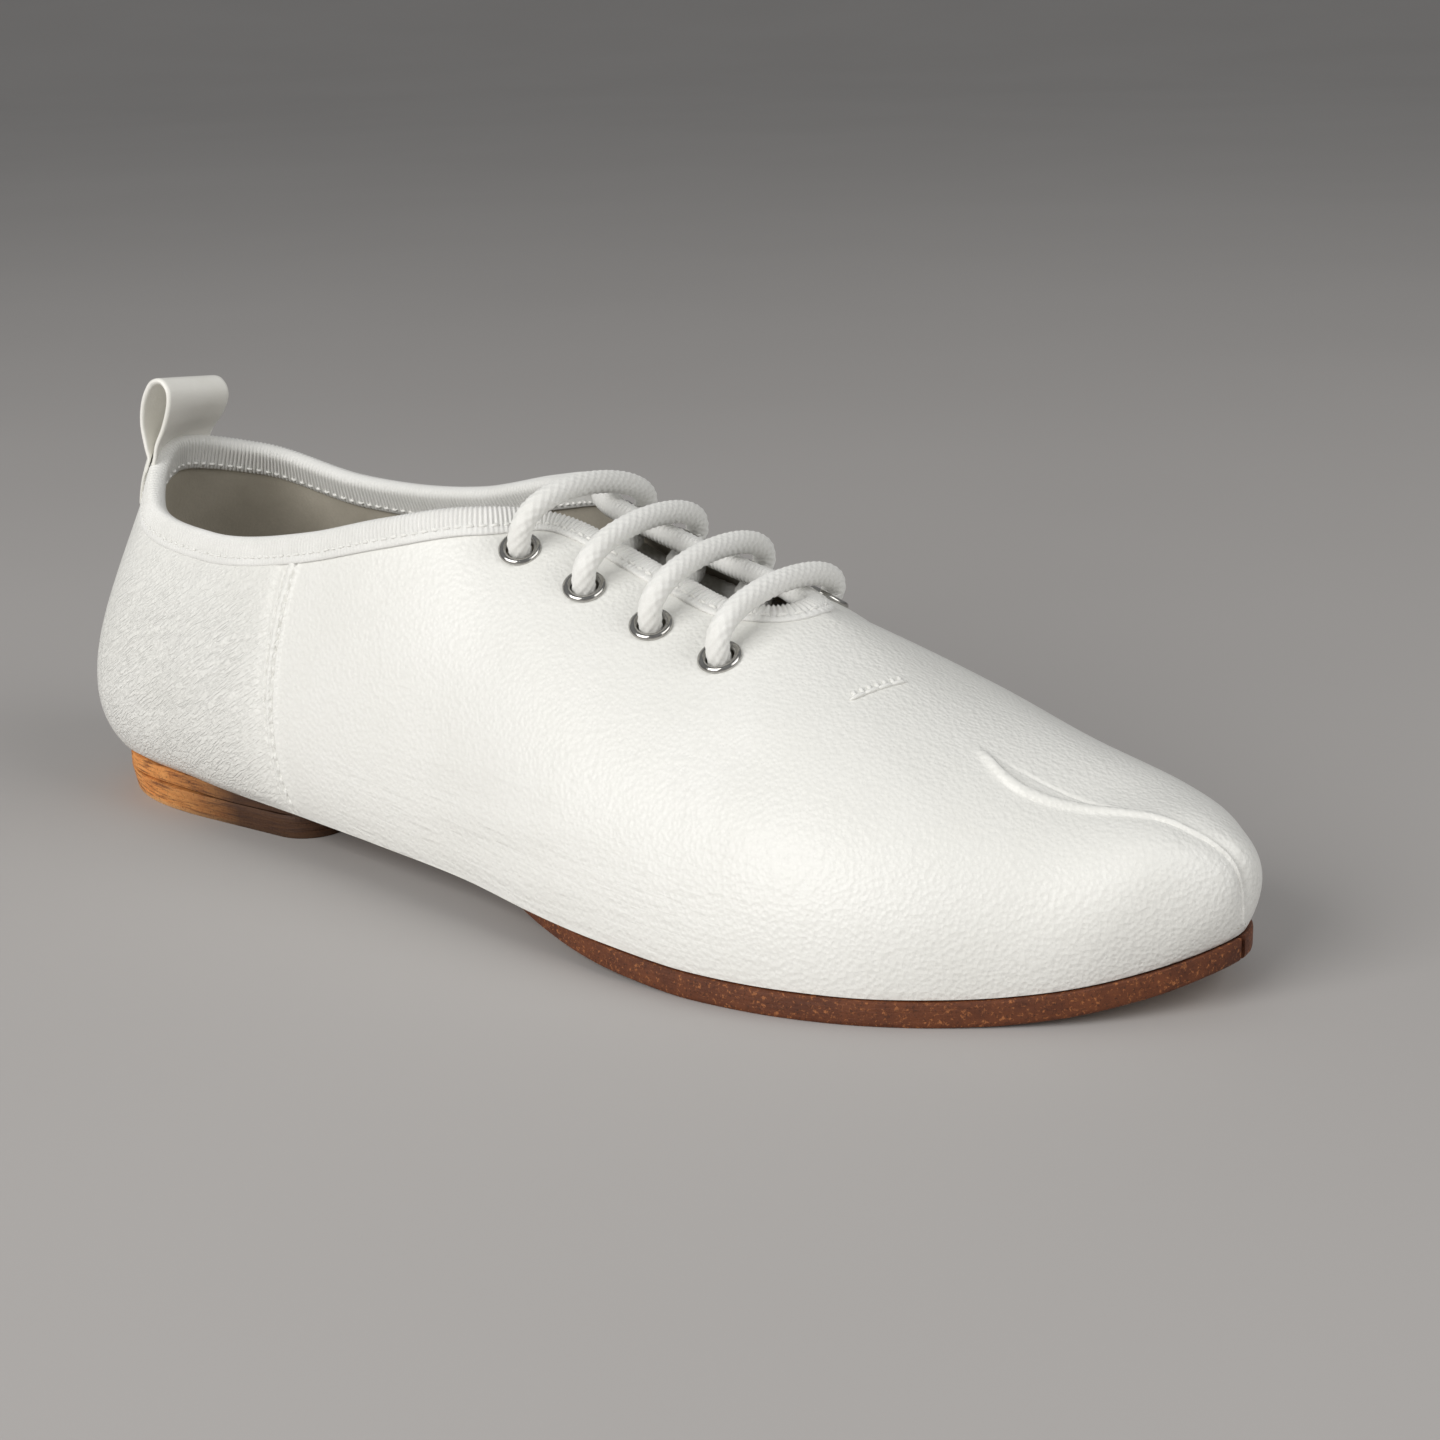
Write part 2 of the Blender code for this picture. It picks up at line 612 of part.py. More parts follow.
def add_pull_loop(surface, tree, material):
    """Strip sewn on the heel's back over the binding, turned over into an open loop."""
    edge, normals, inward = edge_frames(surface)
    heel = surface.half - surface.ridge
    near_heel = slice(heel - 9, heel + 10)
    edge_y = edge[near_heel, 1]
    tab_out = TAPE_GAP + TAPE_THICK + GAP + 0.5 * LOOP_THICK
    free = smooth_path(LOOP_PATH, 2)
    skins = []
    for y in np.linspace(-0.5 * LOOP_WIDTH, 0.5 * LOOP_WIDTH, LOOP_ACROSS + 1):
        e = np.array([np.interp(y, edge_y, edge[near_heel, a]) for a in range(3)])
        n = np.array([np.interp(y, edge_y, normals[near_heel, a]) for a in range(3)])
        m = np.array([np.interp(y, edge_y, inward[near_heel, a]) for a in range(3)])
        line = []
        for down in LOOP_TAB:
            place, normal = outside_near(tree, e + m * down, n)
            line.append(place + normal * tab_out)
        middle = edge[heel]
        for ahead, rise, wrap in free:
            base = middle * (1 - wrap) + e * wrap
            line.append(np.array([base[0] + ahead, y, base[2] + rise]))
        line = np.array(line)
        tangent = np.gradient(line, axis=0)
        tangent[:, 1] = 0
        tangent = tangent / np.linalg.norm(tangent, axis=1)[:, None]
        square = np.cross(tangent, (0.0, 1.0, 0.0))
        skins.append((line + 0.5 * LOOP_THICK * square, line - 0.5 * LOOP_THICK * square))
    skins = np.array(skins)
    across, _, along, _ = skins.shape
    points = skins.reshape(-1, 3)

    def number(i, skin, j):
        return (i * 2 + skin) * along + j

    faces = []
    for i in range(across - 1):
        for j in range(along - 1):
            for skin in (0, 1):
                faces.append((number(i, skin, j), number(i + 1, skin, j),
                              number(i + 1, skin, j + 1), number(i, skin, j + 1)))
        for j in (0, along - 1):
            faces.append((number(i, 0, j), number(i + 1, 0, j), number(i + 1, 1, j), number(i, 1, j)))
    for i in (0, across - 1):
        for j in range(along - 1):
            faces.append((number(i, 0, j), number(i, 0, j + 1), number(i, 1, j + 1), number(i, 1, j)))
    return add_mesh("pull_loop", points, faces, material, 0.6)


def add_slab(name, lateral, medial, middle, bottom, top, material):
    """Slab between two side lines from the toe to the heel, with a line of middle points."""
    count = len(lateral)
    points = []
    for height in (bottom, top):
        for line in (lateral, middle, medial):
            z = height(line[:, 0])
            points.extend(np.column_stack([line[:, :2], z]))

    def number(skin, line, i):
        return (skin * 3 + line) * count + i

    faces = []
    for i in range(count - 1):
        for skin in (0, 1):
            for line in (0, 1):
                faces.append((number(skin, line, i), number(skin, line + 1, i),
                              number(skin, line + 1, i + 1), number(skin, line, i + 1)))
        for line in (0, 2):
            faces.append((number(0, line, i), number(0, line, i + 1),
                          number(1, line, i + 1), number(1, line, i)))
    for line in (0, 1):
        faces.append((number(0, line, 0), number(0, line + 1, 0), number(1, line + 1, 0), number(1, line, 0)))
    return add_mesh(name, points, faces, material, 0.6)


def side_lines(surface, loop):
    """Split a closed plan line into lateral and medial lines from the toe to the heel's back."""
    half = surface.half
    lateral = loop[:half + 1]
    medial = np.concatenate([loop[:1], loop[:half - 1:-1]])
    return lateral, medial


def add_outsole(surface, material):
    """Outsole with toe spring, narrow waist and a notch at the toe."""
    loop = surface.base + surface.facing * surface.sole_edge[:, None]
    lateral, medial = side_lines(surface, loop)
    tip = loop[0].copy()
    lateral = lateral.copy()
    medial = medial.copy()
    lateral[0] = tip + np.array([0.0, -NOTCH_HALF, 0.0])
    medial[0] = tip + np.array([0.0, NOTCH_HALF, 0.0])
    middle = 0.5 * (lateral + medial)
    middle[0] = tip - np.array([NOTCH_DEPTH, 0.0, 0.0])
    for k in range(1, len(middle)):
        limit = middle[0, 0] - 1.5 * k
        middle[k, 0] = min(middle[k, 0], limit)
    return add_slab("outsole", lateral, medial, middle,
                    lambda x: sole_height(x, 1), lambda x: sole_height(x, 2), material)


def add_insole(surface, material):
    """Inner board just inside the wall's foot."""
    inner = surface.inside[:, 0]
    loop = inner - surface.facing * (GAP + 0.15)
    lateral, medial = side_lines(surface, loop)
    middle = 0.5 * (lateral + medial)
    return add_slab("insole", lateral, medial, middle,
                    lambda x: sole_height(x, 2) + GAP,
                    lambda x: sole_height(x, 2) + GAP + INSOLE_THICK, material)


def add_heel_lift(material):
    """Stacked heel with a rounded back and a straight breast with round corners."""
    outline = []
    length = LIFT_MIDDLE_X - LIFT_BACK_X
    for angle in np.linspace(-90, 90, 25):
        back = np.cos(np.radians(angle))
        side = np.sin(np.radians(angle))
        outline.append((LIFT_MIDDLE_X - length * back**(2 / LIFT_POWER),
                        LIFT_HALF * np.sign(side) * abs(side)**(2 / LIFT_POWER)))
    corner_x = LIFT_BREAST_X - LIFT_CORNER
    corner_y = LIFT_HALF - 0.3 - LIFT_CORNER
    for angle in np.linspace(90, 0, 6):
        outline.append((corner_x + LIFT_CORNER * np.cos(np.radians(angle)),
                        corner_y + LIFT_CORNER * np.sin(np.radians(angle))))
    for angle in np.linspace(0, -90, 6):
        outline.append((corner_x + LIFT_CORNER * np.cos(np.radians(angle)),
                        -corner_y + LIFT_CORNER * np.sin(np.radians(angle))))
    count = len(outline)
    points = []
    for x, y in outline:
        back = min(x - LIFT_MIDDLE_X, 0.0)
        points.append((x - (1 - LIFT_FOOT) * back, LIFT_FOOT * y, 0.0))
    for x, y in outline:
        points.append((x, y, LIFT_HEIGHT))
    faces = [(i, (i + 1) % count, count + (i + 1) % count, count + i) for i in range(count)]
    faces.append(tuple(range(count)))
    faces.append(tuple(count + i for i in range(count)))
    return add_mesh("heel_lift", points, faces, material, 0.6)


def cut_holes(item, cutter):
    """Cut the cutter's cylinders out of the item."""
    cut = item.modifiers.new("eyelet holes", "BOOLEAN")
    cut.operation = "DIFFERENCE"
    cut.solver = "EXACT"
    cut.object = cutter


def move_to_origin(items):
    """Put the middle of the whole shoe's underside on the origin."""
    corners = np.array([v.co for item in items if not item.hide_render for v in item.data.vertices])
    low = corners.min(0)
    high = corners.max(0)
    shift = Vector((-0.5 * (low[0] + high[0]), -0.5 * (low[1] + high[1]), -low[2]))
    for item in items:
        for vertex in item.data.vertices:
            vertex.co += shift


def build():
    for item in list(bpy.data.objects):
        bpy.data.objects.remove(item, do_unlink=True)
    white_leather = add_material("white_leather", (0.82, 0.81, 0.78), 0.5)
    tape = add_material("ribbed_tape", (0.84, 0.84, 0.82), 0.8)
    loop_leather = add_material("loop_leather", (0.84, 0.81, 0.74), 0.45)
    cord = add_material("lace_cord", (0.83, 0.83, 0.80), 0.85)
    nickel = add_material("nickel", (0.62, 0.60, 0.57), 0.25, 1.0)
    sole_leather = add_material("sole_leather", (0.25, 0.09, 0.045), 0.5)
    heel_leather = add_material("heel_leather", (0.45, 0.20, 0.07), 0.45)
    board = add_material("insole_leather", (0.56, 0.51, 0.44), 0.75)

    surface = Surface(1, LOWER_LEVELS)
    fine = Surface(3, 3 * LOWER_LEVELS)
    tree = surface_tree(fine)
    seats = {(side, k): eyelet_seat(tree, k, side) for side in (-1, 1) for k in range(EYELET_COUNT)}

    upper = add_upper(surface, white_leather)
    cutter = add_hole_cutter(list(seats.values()), white_leather)
    cut_holes(upper, cutter)
    items = [upper, cutter]
    items.append(add_outsole(surface, sole_leather))
    items.append(add_heel_lift(heel_leather))
    items.append(add_insole(surface, board))
    items.append(add_binding(surface, tree, tape))
    items.append(add_pull_loop(surface, tree, loop_leather))
    for side, side_name in ((-1, "lateral"), (1, "medial")):
        for k in range(EYELET_COUNT):
            items.append(add_eyelet(f"eyelet_{side_name}_{k + 1}", seats[side, k], nickel))
    for k, row in enumerate(LACE_BARS):
        path = lace_bar_path(seats[-1, k], seats[1, k], row)
        items.append(add_cord(f"lace_bar_{k + 1}", path, LACE_RADIUS, 9, cord))
    move_to_origin(items)


build()
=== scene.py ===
# Looks of the split-toe lace-up shoe, a right shoe, dressed on its solids.
# Shoe frame while building: x from the heel to the toe, y to the inner (medial) side, z up, in millimetres.
import bmesh
import bpy
import numpy as np
from mathutils import Matrix, Vector
from mathutils.bvhtree import BVHTree


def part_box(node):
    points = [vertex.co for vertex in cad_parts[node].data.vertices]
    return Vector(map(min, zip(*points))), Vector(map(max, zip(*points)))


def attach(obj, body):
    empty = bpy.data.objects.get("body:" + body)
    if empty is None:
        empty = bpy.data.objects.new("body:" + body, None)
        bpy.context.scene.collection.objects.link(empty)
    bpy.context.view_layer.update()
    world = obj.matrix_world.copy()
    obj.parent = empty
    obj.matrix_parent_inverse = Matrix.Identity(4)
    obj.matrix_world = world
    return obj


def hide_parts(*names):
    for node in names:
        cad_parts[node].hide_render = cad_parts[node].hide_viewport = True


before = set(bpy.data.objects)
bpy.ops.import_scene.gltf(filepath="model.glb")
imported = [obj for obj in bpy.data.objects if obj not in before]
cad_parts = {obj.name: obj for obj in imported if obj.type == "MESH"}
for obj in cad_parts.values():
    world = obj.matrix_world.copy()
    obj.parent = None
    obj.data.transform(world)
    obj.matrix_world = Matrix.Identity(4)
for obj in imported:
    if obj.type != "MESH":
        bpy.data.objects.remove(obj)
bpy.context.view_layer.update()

# Driving sizes in millimetres, the same as the solids'
MM = 0.001
WALL = 2.0
GAP = 0.3
PANEL_STEP = 0.45
INSOLE_THICK = 2.0
TURN_IN = 1.0
TURN_IN_LEAST = 2.8
SLOT_HALF = 6.1
TAPE_THICK = 0.8
TAPE_OUTER = 4.8
EYELET_COUNT = 4
EYELET_HOLE = 2.6
LACE_RADIUS = 2.1
LOOP_WIDTH = 16.5
LOOP_THICK = 1.2
LIFT_HEIGHT = 5.1
LIFT_BACK_X = 4.3
LIFT_MIDDLE_X = 42.0
LIFT_HALF = 27.2
LIFT_BREAST_X = 71.0
LIFT_CORNER = 8.0
LIFT_POWER = 2.5
LIFT_FOOT = 0.972
NOTCH_DEPTH = 6.5
NOTCH_HALF = 0.7

# Fineness of the meshes
COLUMN_STEP = 1.0
SEAM_ZONE = 6.0
SEAM_COLUMN_STEP = 0.3
LOWER_LEVELS = 56
UPPER_LEVELS = 26
UPPER_LEVEL_STEP = 0.25
INSIDE_STRIDE = 3

# Side profile of the outsole: x, underside, top
SOLE_PROFILE = [
    (0.0, 5.4, 8.5),
    (45.0, 5.4, 8.5),
    (72.0, 5.4, 8.5),
    (90.0, 5.2, 8.3),
    (110.0, 4.7, 7.9),
    (130.0, 3.7, 7.0),
    (150.0, 2.2, 5.6),
    (165.0, 0.8, 4.7),
    (180.0, 0.0, 4.2),
    (215.0, 0.0, 4.2),
    (225.0, 0.3, 4.6),
    (235.0, 1.5, 5.8),
    (245.0, 3.9, 8.1),
    (250.0, 5.7, 9.8),
    (256.0, 8.4, 12.4),
]

# Sections of the upper. Each is a curve from the sole's edge (base) to the top edge or the ridge (top).
# facing: plan direction the wall faces; base_out, base_up and top_out, top_up: handles of the curve;
# lean: both handles moved along the shoe; sole_edge: outsole's edge beyond the wall's foot.
SECTION_COLUMNS = ("facing", "base_x", "base_y", "base_out", "base_up",
                   "top_x", "top_y", "top_z", "top_out", "top_up", "lean", "sole_edge")
HEEL_BACK = (180, 5.6, 0.0, 9.6, 12, 10.8, 0.0, 69.4, 6.0, -22, 0, 1.2)
LATERAL = [
    (228, 14.4, -19.8, 11.4, 10, 21.0, -15.0, 60.6, 13.4, -22, 0, 1.2),      # heel turn
    (262, 42.0, -27.8, 9.2, 10, 44.5, -21.8, 57.6, 10.7, -20, 0, -0.6),      # heel side
    (268, 78.0, -33.2, 6.0, 12, 75.5, -24.5, 61.6, 9.0, -20, -3.5, -6.8),    # panel seam
    (270, 100.0, -36.0, 5.0, 14, 95.0, -24.3, 66.5, 10.0, -20, 0, -10.0),    # waist
    (272, 124.0, -39.0, 4.5, 20, 111.4, -17.7, 69.2, 12.0, -12, 0, -7.5),    # collar corner
    (272, 142.0, -42.4, 4.0, 25, 121.6, -6.4, 67.0, 19.0, -3.2, 0, -2.6),    # throat top
    (272, 160.0, -44.3, 3.0, 25, 148.0, -5.2, 58.7, 21.2, -3.8, 0, 0.8),     # throat middle
    (272, 176.0, -45.0, 2.0, 24, 163.5, -4.2, 55.2, 20.7, -3.4, 0, 1.0),     # throat low
    (272, 182.0, -44.7, 2.0, 24, 169.6, 1.9, 55.4, 26.5, -2.8, 0, 1.0),      # throat end
    (278, 197.0, -42.2, 2.0, 24.5, 192.0, -0.5, 47.4, 25.0, -2.6, 0, 1.0),   # vamp
    (290, 213.0, -35.8, 2.0, 20.8, 213.8, -9.1, 37.7, 13.0, -2.3, 0, 1.0),   # split start
    (305, 226.5, -27.3, 2.5, 17, 227.6, -7.1, 32.3, 9.4, -0.2, 0, 1.0),      # toe top
    (318, 240.0, -17.0, 4.0, 14, 243.4, -2.2, 30.1, 8.7, 0.2, 0, 1.0),       # toe brow
    (338, 249.5, -6.5, 3.0, 6, 252.4, 1.2, 24.2, 4.4, -2.0, 0, 1.0),         # toe front
]
MEDIAL = [
    (132, 14.4, 19.8, 10.4, 10, 20.0, 16.0, 66.8, 12.4, -22, 0, 1.0),
    (98, 42.0, 27.6, 8.7, 10, 44.0, 22.4, 61.0, 9.7, -20, 0, -0.6),
    (92, 76.0, 29.3, 6.5, 12, 75.5, 24.5, 61.4, 9.0, -20, -3.5, -4.7),
    (90, 100.0, 28.0, 7.0, 14, 95.0, 24.3, 65.8, 12.0, -20, 0, -6.5),
    (88, 124.0, 30.5, 6.0, 20, 111.4, 17.7, 68.8, 14.0, -12, 0, -6.0),
    (88, 144.0, 34.6, 4.0, 25, 121.6, 9.0, 67.2, 15.0, -4.5, 0, -3.0),
    (88, 164.0, 38.8, 3.0, 26, 148.0, 9.2, 59.4, 15.6, -4.5, 0, 0.4),
    (88, 180.0, 40.6, 2.0, 24, 163.5, 8.0, 56.0, 17.7, -4.0, 0, 1.0),
    (88, 186.0, 40.9, 2.0, 24, 169.6, 1.9, 55.4, 19.5, -3.2, 0, 1.0),
    (84, 201.0, 39.9, 2.0, 25, 192.0, -0.5, 47.4, 27.3, -4.0, 0, 1.0),
    (72, 216.0, 36.8, 2.0, 24, 213.8, -9.1, 37.7, 26.6, 3.2, 0, 1.0),
    (58, 229.5, 31.2, 3.0, 21.7, 227.6, -7.1, 32.3, 27.6, 2.6, 0, 1.0),
    (42, 242.0, 22.5, 4.0, 18, 243.4, -2.2, 30.1, 12.8, 0.0, 0, 1.0),
    (20, 251.0, 11.0, 4.5, 9, 252.4, 1.2, 24.2, 3.8, 0.5, 0, 1.0),
]
TOE_NOTCH = (360, 253.6, 2.0, 0.3, 1, 254.4, 1.8, 14.8, 0.2, -1, 0, 1.0)
SEAM_ROW = 3
THROAT_LOW_ROW = 8
THROAT_END_ROW = 9
SPLIT_ROW = 11
SIDE_ROWS = len(LATERAL) + 1

# Heel panel's seam: two stitch rows that close up downwards, placed towards the toe from the panel's edge
SEAM_MIDDLE = -2.2
SEAM_GAPS = [(0.0, 1.6), (0.5, 1.9), (1.0, 2.9)]     # height on the wall, gap between the rows
SEAM_PULL = 1.3           # deepest dent, at the ends of the stitches
SEAM_PULL_MEAN = 0.65     # share of that along a row, and how far it swings
SEAM_PULL_SWING = 0.35
SEAM_GROOVE = 0.38        # width of a row's groove
SEAM_PUFF = 0.16
SEAM_HOLLOW = 0.42        # soft hollow on the heel side: depth, distance from the row, width
SEAM_HOLLOW_AWAY = 1.4
SEAM_HOLLOW_WIDTH = 1.3
STITCH_PITCH = 2.4
STITCH_FIRST = 2.6        # lowest stitch above the sole
STITCH_LENGTH = 1.65
STITCH_RISE = 0.35        # the threads bridge the pulled-in leather by this
THREAD_RADIUS = 0.4

# Split of the toe. along: from its start towards the notch; groove: from the middle line, medial positive;
# ridge: width of the rolled edge beside the groove; height: how far it stands up;
# lens: width of the sunk gusset on the other side; sink: its depth.
SPLIT_COLUMNS = ("along", "groove", "ridge", "height", "lens", "sink")
SPLIT = [
    (-2.5, 0.8, 1.6, 0.00, 0.0, 0.00),
    (-1.0, 0.8, 2.2, 0.60, 0.2, 0.00),
    (0.5, 0.5, 2.6, 0.90, 0.8, 0.04),
    (3.0, -0.6, 2.7, 0.95, 2.2, 0.14),
    (7.0, -1.5, 2.6, 0.95, 3.3, 0.18),
    (12.0, -1.2, 2.5, 0.95, 2.9, 0.18),
    (17.0, -0.2, 2.4, 0.90, 1.9, 0.18),
    (23.0, 0.5, 2.1, 0.80, 1.0, 0.15),
    (30.0, 0.6, 1.7, 0.65, 0.2, 0.10),
    (38.0, 0.0, 1.4, 0.55, 0.0, 0.00),
    (44.0, -0.4, 1.2, 0.55, 0.0, 0.00),
    (50.0, -0.4, 1.1, 0.50, 0.0, 0.00),
    (54.0, -0.2, 0.9, 0.40, 0.0, 0.00),
]
GROOVE_DEPTH = 0.6

# Reach of the rounding across the middle line: along the split from its start, reach
VAMP_ROUND = [(-43.0, 0.5), (-36.0, 4.0), (-20.0, 5.0), (-4.0, 5.0),
              (4.0, 4.5), (14.0, 3.5), (28.0, 2.0), (40.0, 1.0)]

# Soft creases of the leather: on the loop from the heel's back, above the sole, at both ends; width; depth
CREASE_COLUMNS = ("side", "from_1", "above_1", "from_2", "above_2", "width", "depth")
CREASES = [
    (-1, 118, 8, 168, 14, 3.0, 0.22),
    (-1, 110, 15, 150, 20, 2.6, 0.14),
    (-1, 176, 40, 205, 34, 5.0, 0.25),
    (-1, 24, 20, 52, 33, 3.0, 0.16),
    (-1, 30, 12, 62, 22, 2.6, 0.14),
    (1, 112, 8, 160, 13, 3.0, 0.22),
    (1, 176, 42, 206, 36, 5.0, 0.22),
    (1, 26, 20, 54, 32, 3.0, 0.16),
]

# Pull loop from the heel's tab to its inner end: ahead of the collar edge, above it, how far it wraps round
LOOP_PATH = [
    (-1.3, 2.0, 1.0),
    (-1.3, 3.6, 0.8),
    (-0.6, 6.9, 0.4),
    (1.2, 10.9, 0.2),
    (4.4, 14.0, 0.05),
    (7.6, 14.5, 0.0),
    (9.4, 12.6, 0.0),
    (9.0, 9.7, 0.05),
    (6.4, 6.0, 0.25),
    (2.9, 3.2, 0.55),
    (0.7, 1.6, 0.9),
    (-0.2, 0.6, 1.0),
]
LOOP_TAB = (10.0, 7.0, 4.0, 1.0)
LOOP_DROOP = 1.8          # the loop's top hangs lower at its medial edge

# Outer lace bars: handle along each eyelet's axis and towards the other side, lateral end and medial end
BAR_COLUMNS = ("rise_lateral", "in_lateral", "rise_medial", "in_medial")
LACE_BARS = [
    (19.0, 4.0, 10.5, 3.0),
    (13.0, 1.0, 11.3, 3.8),
    (13.6, 0.5, 11.4, 3.8),
    (13.3, 2.0, 9.6, 3.0),
]
BAR_START = 1.5

# Eyelets of each side (-1 lateral, 1 medial) from the collar: x and distance from the middle line
EYELET_PLACES = {
    -1: [(121.3, 17.0), (136.3, 17.4), (151.3, 17.8), (166.3, 18.2)],
    1: [(120.0, 18.8), (134.0, 17.0), (149.0, 17.6), (164.4, 17.6)],
}

# Eyelet turned about its axis: radius, height above the leather
EYELET_PROFILE = [
    (2.45, -2.6),
    (2.62, -2.6),
    (2.62, -0.05),
    (3.80, -0.05),
    (3.92, 0.10),
    (3.90, 0.34),
    (3.72, 0.62),
    (3.42, 0.82),
    (3.08, 0.84),
    (2.76, 0.68),
    (2.54, 0.38),
    (2.45, 0.0),
]

# Camera fitted to the photograph: turned round the shoe, tilted down, rolled, place and focal length
VIEW_TURN = 37.0
VIEW_DOWN = 17.17
VIEW_ROLL = -1.55
VIEW_PLACE = (412.1, -344.8, 165.2)
FOCAL_PIXELS = 2500.4
IMAGE_PIXELS = 1440
SENSOR = 36.0


def shoe_shift():
    """Where the shoe frame's origin lies in the part's frame, from the heel lift's box."""
    low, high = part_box("heel_lift")
    return np.array([low.x / MM - LIFT_BACK_X, 0.5 * (low.y + high.y) / MM, 0.0])


SHIFT = shoe_shift()


def smooth_step(x, low, high):
    """0 below low, 1 above high, smooth between."""
    t = np.clip((x - low) / (high - low), 0, 1)
    return t * t * (3 - 2 * t)


def bell(x, width):
    """Soft bump of height 1."""
    return np.exp(-(x / width)**2)


def unit(vectors):
    """Vectors made one long."""
    return vectors / np.linalg.norm(vectors, axis=-1, keepdims=True)


def run_along(line):
    """Distance along a line of points, from its start."""
    return np.concatenate([[0.0], np.cumsum(np.linalg.norm(np.diff(line, axis=0), axis=1))])


def points_at(places, knots, points):
    """Points of a line at places measured like its knots."""
    return np.stack([np.interp(places, knots, points[:, a]) for a in range(3)], -1)


def hermite(t, first, first_slope, last, last_slope):
    """Smooth step from first to last with a slope at each end."""
    return ((2 * t**3 - 3 * t**2 + 1) * first + (t**3 - 2 * t**2 + t) * first_slope
            + (-2 * t**3 + 3 * t**2) * last + (t**3 - t**2) * last_slope)


def bezier(t, a, b, c, d):
    """Cubic curve from a to d with handles b and c."""
    return (1 - t)**3 * a + 3 * (1 - t)**2 * t * b + 3 * (1 - t) * t**2 * c + t**3 * d


def sole_height(x, column):
    """Underside (1) or top (2) of the outsole at x."""
    table = np.array(SOLE_PROFILE)
    knots = table[:, 0]
    values = table[:, column]
    span = np.diff(knots)
    slope = np.diff(values) / span
    tangent = np.zeros(len(knots))
    flat = slope[:-1] * slope[1:] <= 0
    middle = 2 * slope[:-1] * slope[1:] / np.where(flat, 1, slope[:-1] + slope[1:])
    tangent[1:-1] = np.where(flat, 0, middle)
    tangent[-1] = slope[-1]
    x = np.clip(x, knots[0], knots[-1])
    i = np.clip(np.searchsorted(knots, x, side="right") - 1, 0, len(span) - 1)
    t = (x - knots[i]) / span[i]
    return hermite(t, values[i], span[i] * tangent[i], values[i + 1], span[i] * tangent[i + 1])


def section_rows():
    """Every section once round the shoe: notch, lateral side to the heel, medial side to the notch."""
    rows = []
    for row in [TOE_NOTCH] + LATERAL[::-1] + [HEEL_BACK] + MEDIAL:
        v = dict(zip(SECTION_COLUMNS, row))
        angle = np.radians(v["facing"])
        out = np.array([np.cos(angle), np.sin(angle), 0.0])
        base_z = float(sole_height(np.array(v["base_x"]), 2)) + GAP
        base = np.array([v["base_x"], v["base_y"], base_z])
        top = np.array([v["top_x"], v["top_y"], v["top_z"]])
        base_handle = base + out * v["base_out"] + np.array([v["lean"], 0.0, v["base_up"]])
        top_handle = top + out * v["top_out"] + np.array([v["lean"], 0.0, v["top_up"]])
        rows.append(np.concatenate([base, base_handle, top_handle, top, out, [v["sole_edge"]]]))
    return np.array(rows)


ROWS = section_rows()
ROW_COUNT = len(ROWS)
STEP = 0.5 * (np.linalg.norm(np.roll(ROWS[:, 0:3], -1, 0) - ROWS[:, 0:3], axis=1)
              + np.linalg.norm(np.roll(ROWS[:, 9:12], -1, 0) - ROWS[:, 9:12], axis=1))
KNOTS = np.concatenate([[0.0], np.cumsum(STEP)])


def row_place(side, row):
    """Position on the loop of a row counted from the heel's back, side -1 lateral or +1 medial."""
    return KNOTS[SIDE_ROWS + side * row]


def sections_at(u):
    """Smooth closed curve through the rows: base, two handles, top, facing and sole edge at each u."""
    span = np.diff(KNOTS)[:, None]
    slope = (np.roll(ROWS, -1, 0) - ROWS) / span
    back = np.roll(span, 1, 0)
    tangent = (np.roll(slope, 1, 0) * span + slope * back) / (span + back)
    u = np.mod(u, KNOTS[-1])
    i = np.clip(np.searchsorted(KNOTS, u, side="right") - 1, 0, ROW_COUNT - 1)
    j = (i + 1) % ROW_COUNT
    t = ((u - KNOTS[i]) / span[i, 0])[:, None]
    return hermite(t, ROWS[i], span[i] * tangent[i], ROWS[j], span[i] * tangent[j])


def column_places():
    """Loop positions of the mesh columns, alike on both sides and closer at the panel seams."""
    places = []
    for k in range(ROW_COUNT):
        row = k - SIDE_ROWS if k >= SIDE_ROWS else SIDE_ROWS - 1 - k
        longest = max(STEP[SIDE_ROWS + row], STEP[SIDE_ROWS - 1 - row])
        count = int(np.ceil(longest / COLUMN_STEP))
        places.append(np.linspace(KNOTS[k], KNOTS[k + 1], count, endpoint=False))
    places = np.concatenate(places)
    for side in (-1, 1):
        seam = row_place(side, SEAM_ROW)
        places = places[np.abs(places - seam) > SEAM_ZONE]
        near = np.arange(-SEAM_ZONE, SEAM_ZONE + 0.01, SEAM_COLUMN_STEP)
        places = np.concatenate([places, seam + near])
    return np.sort(places)


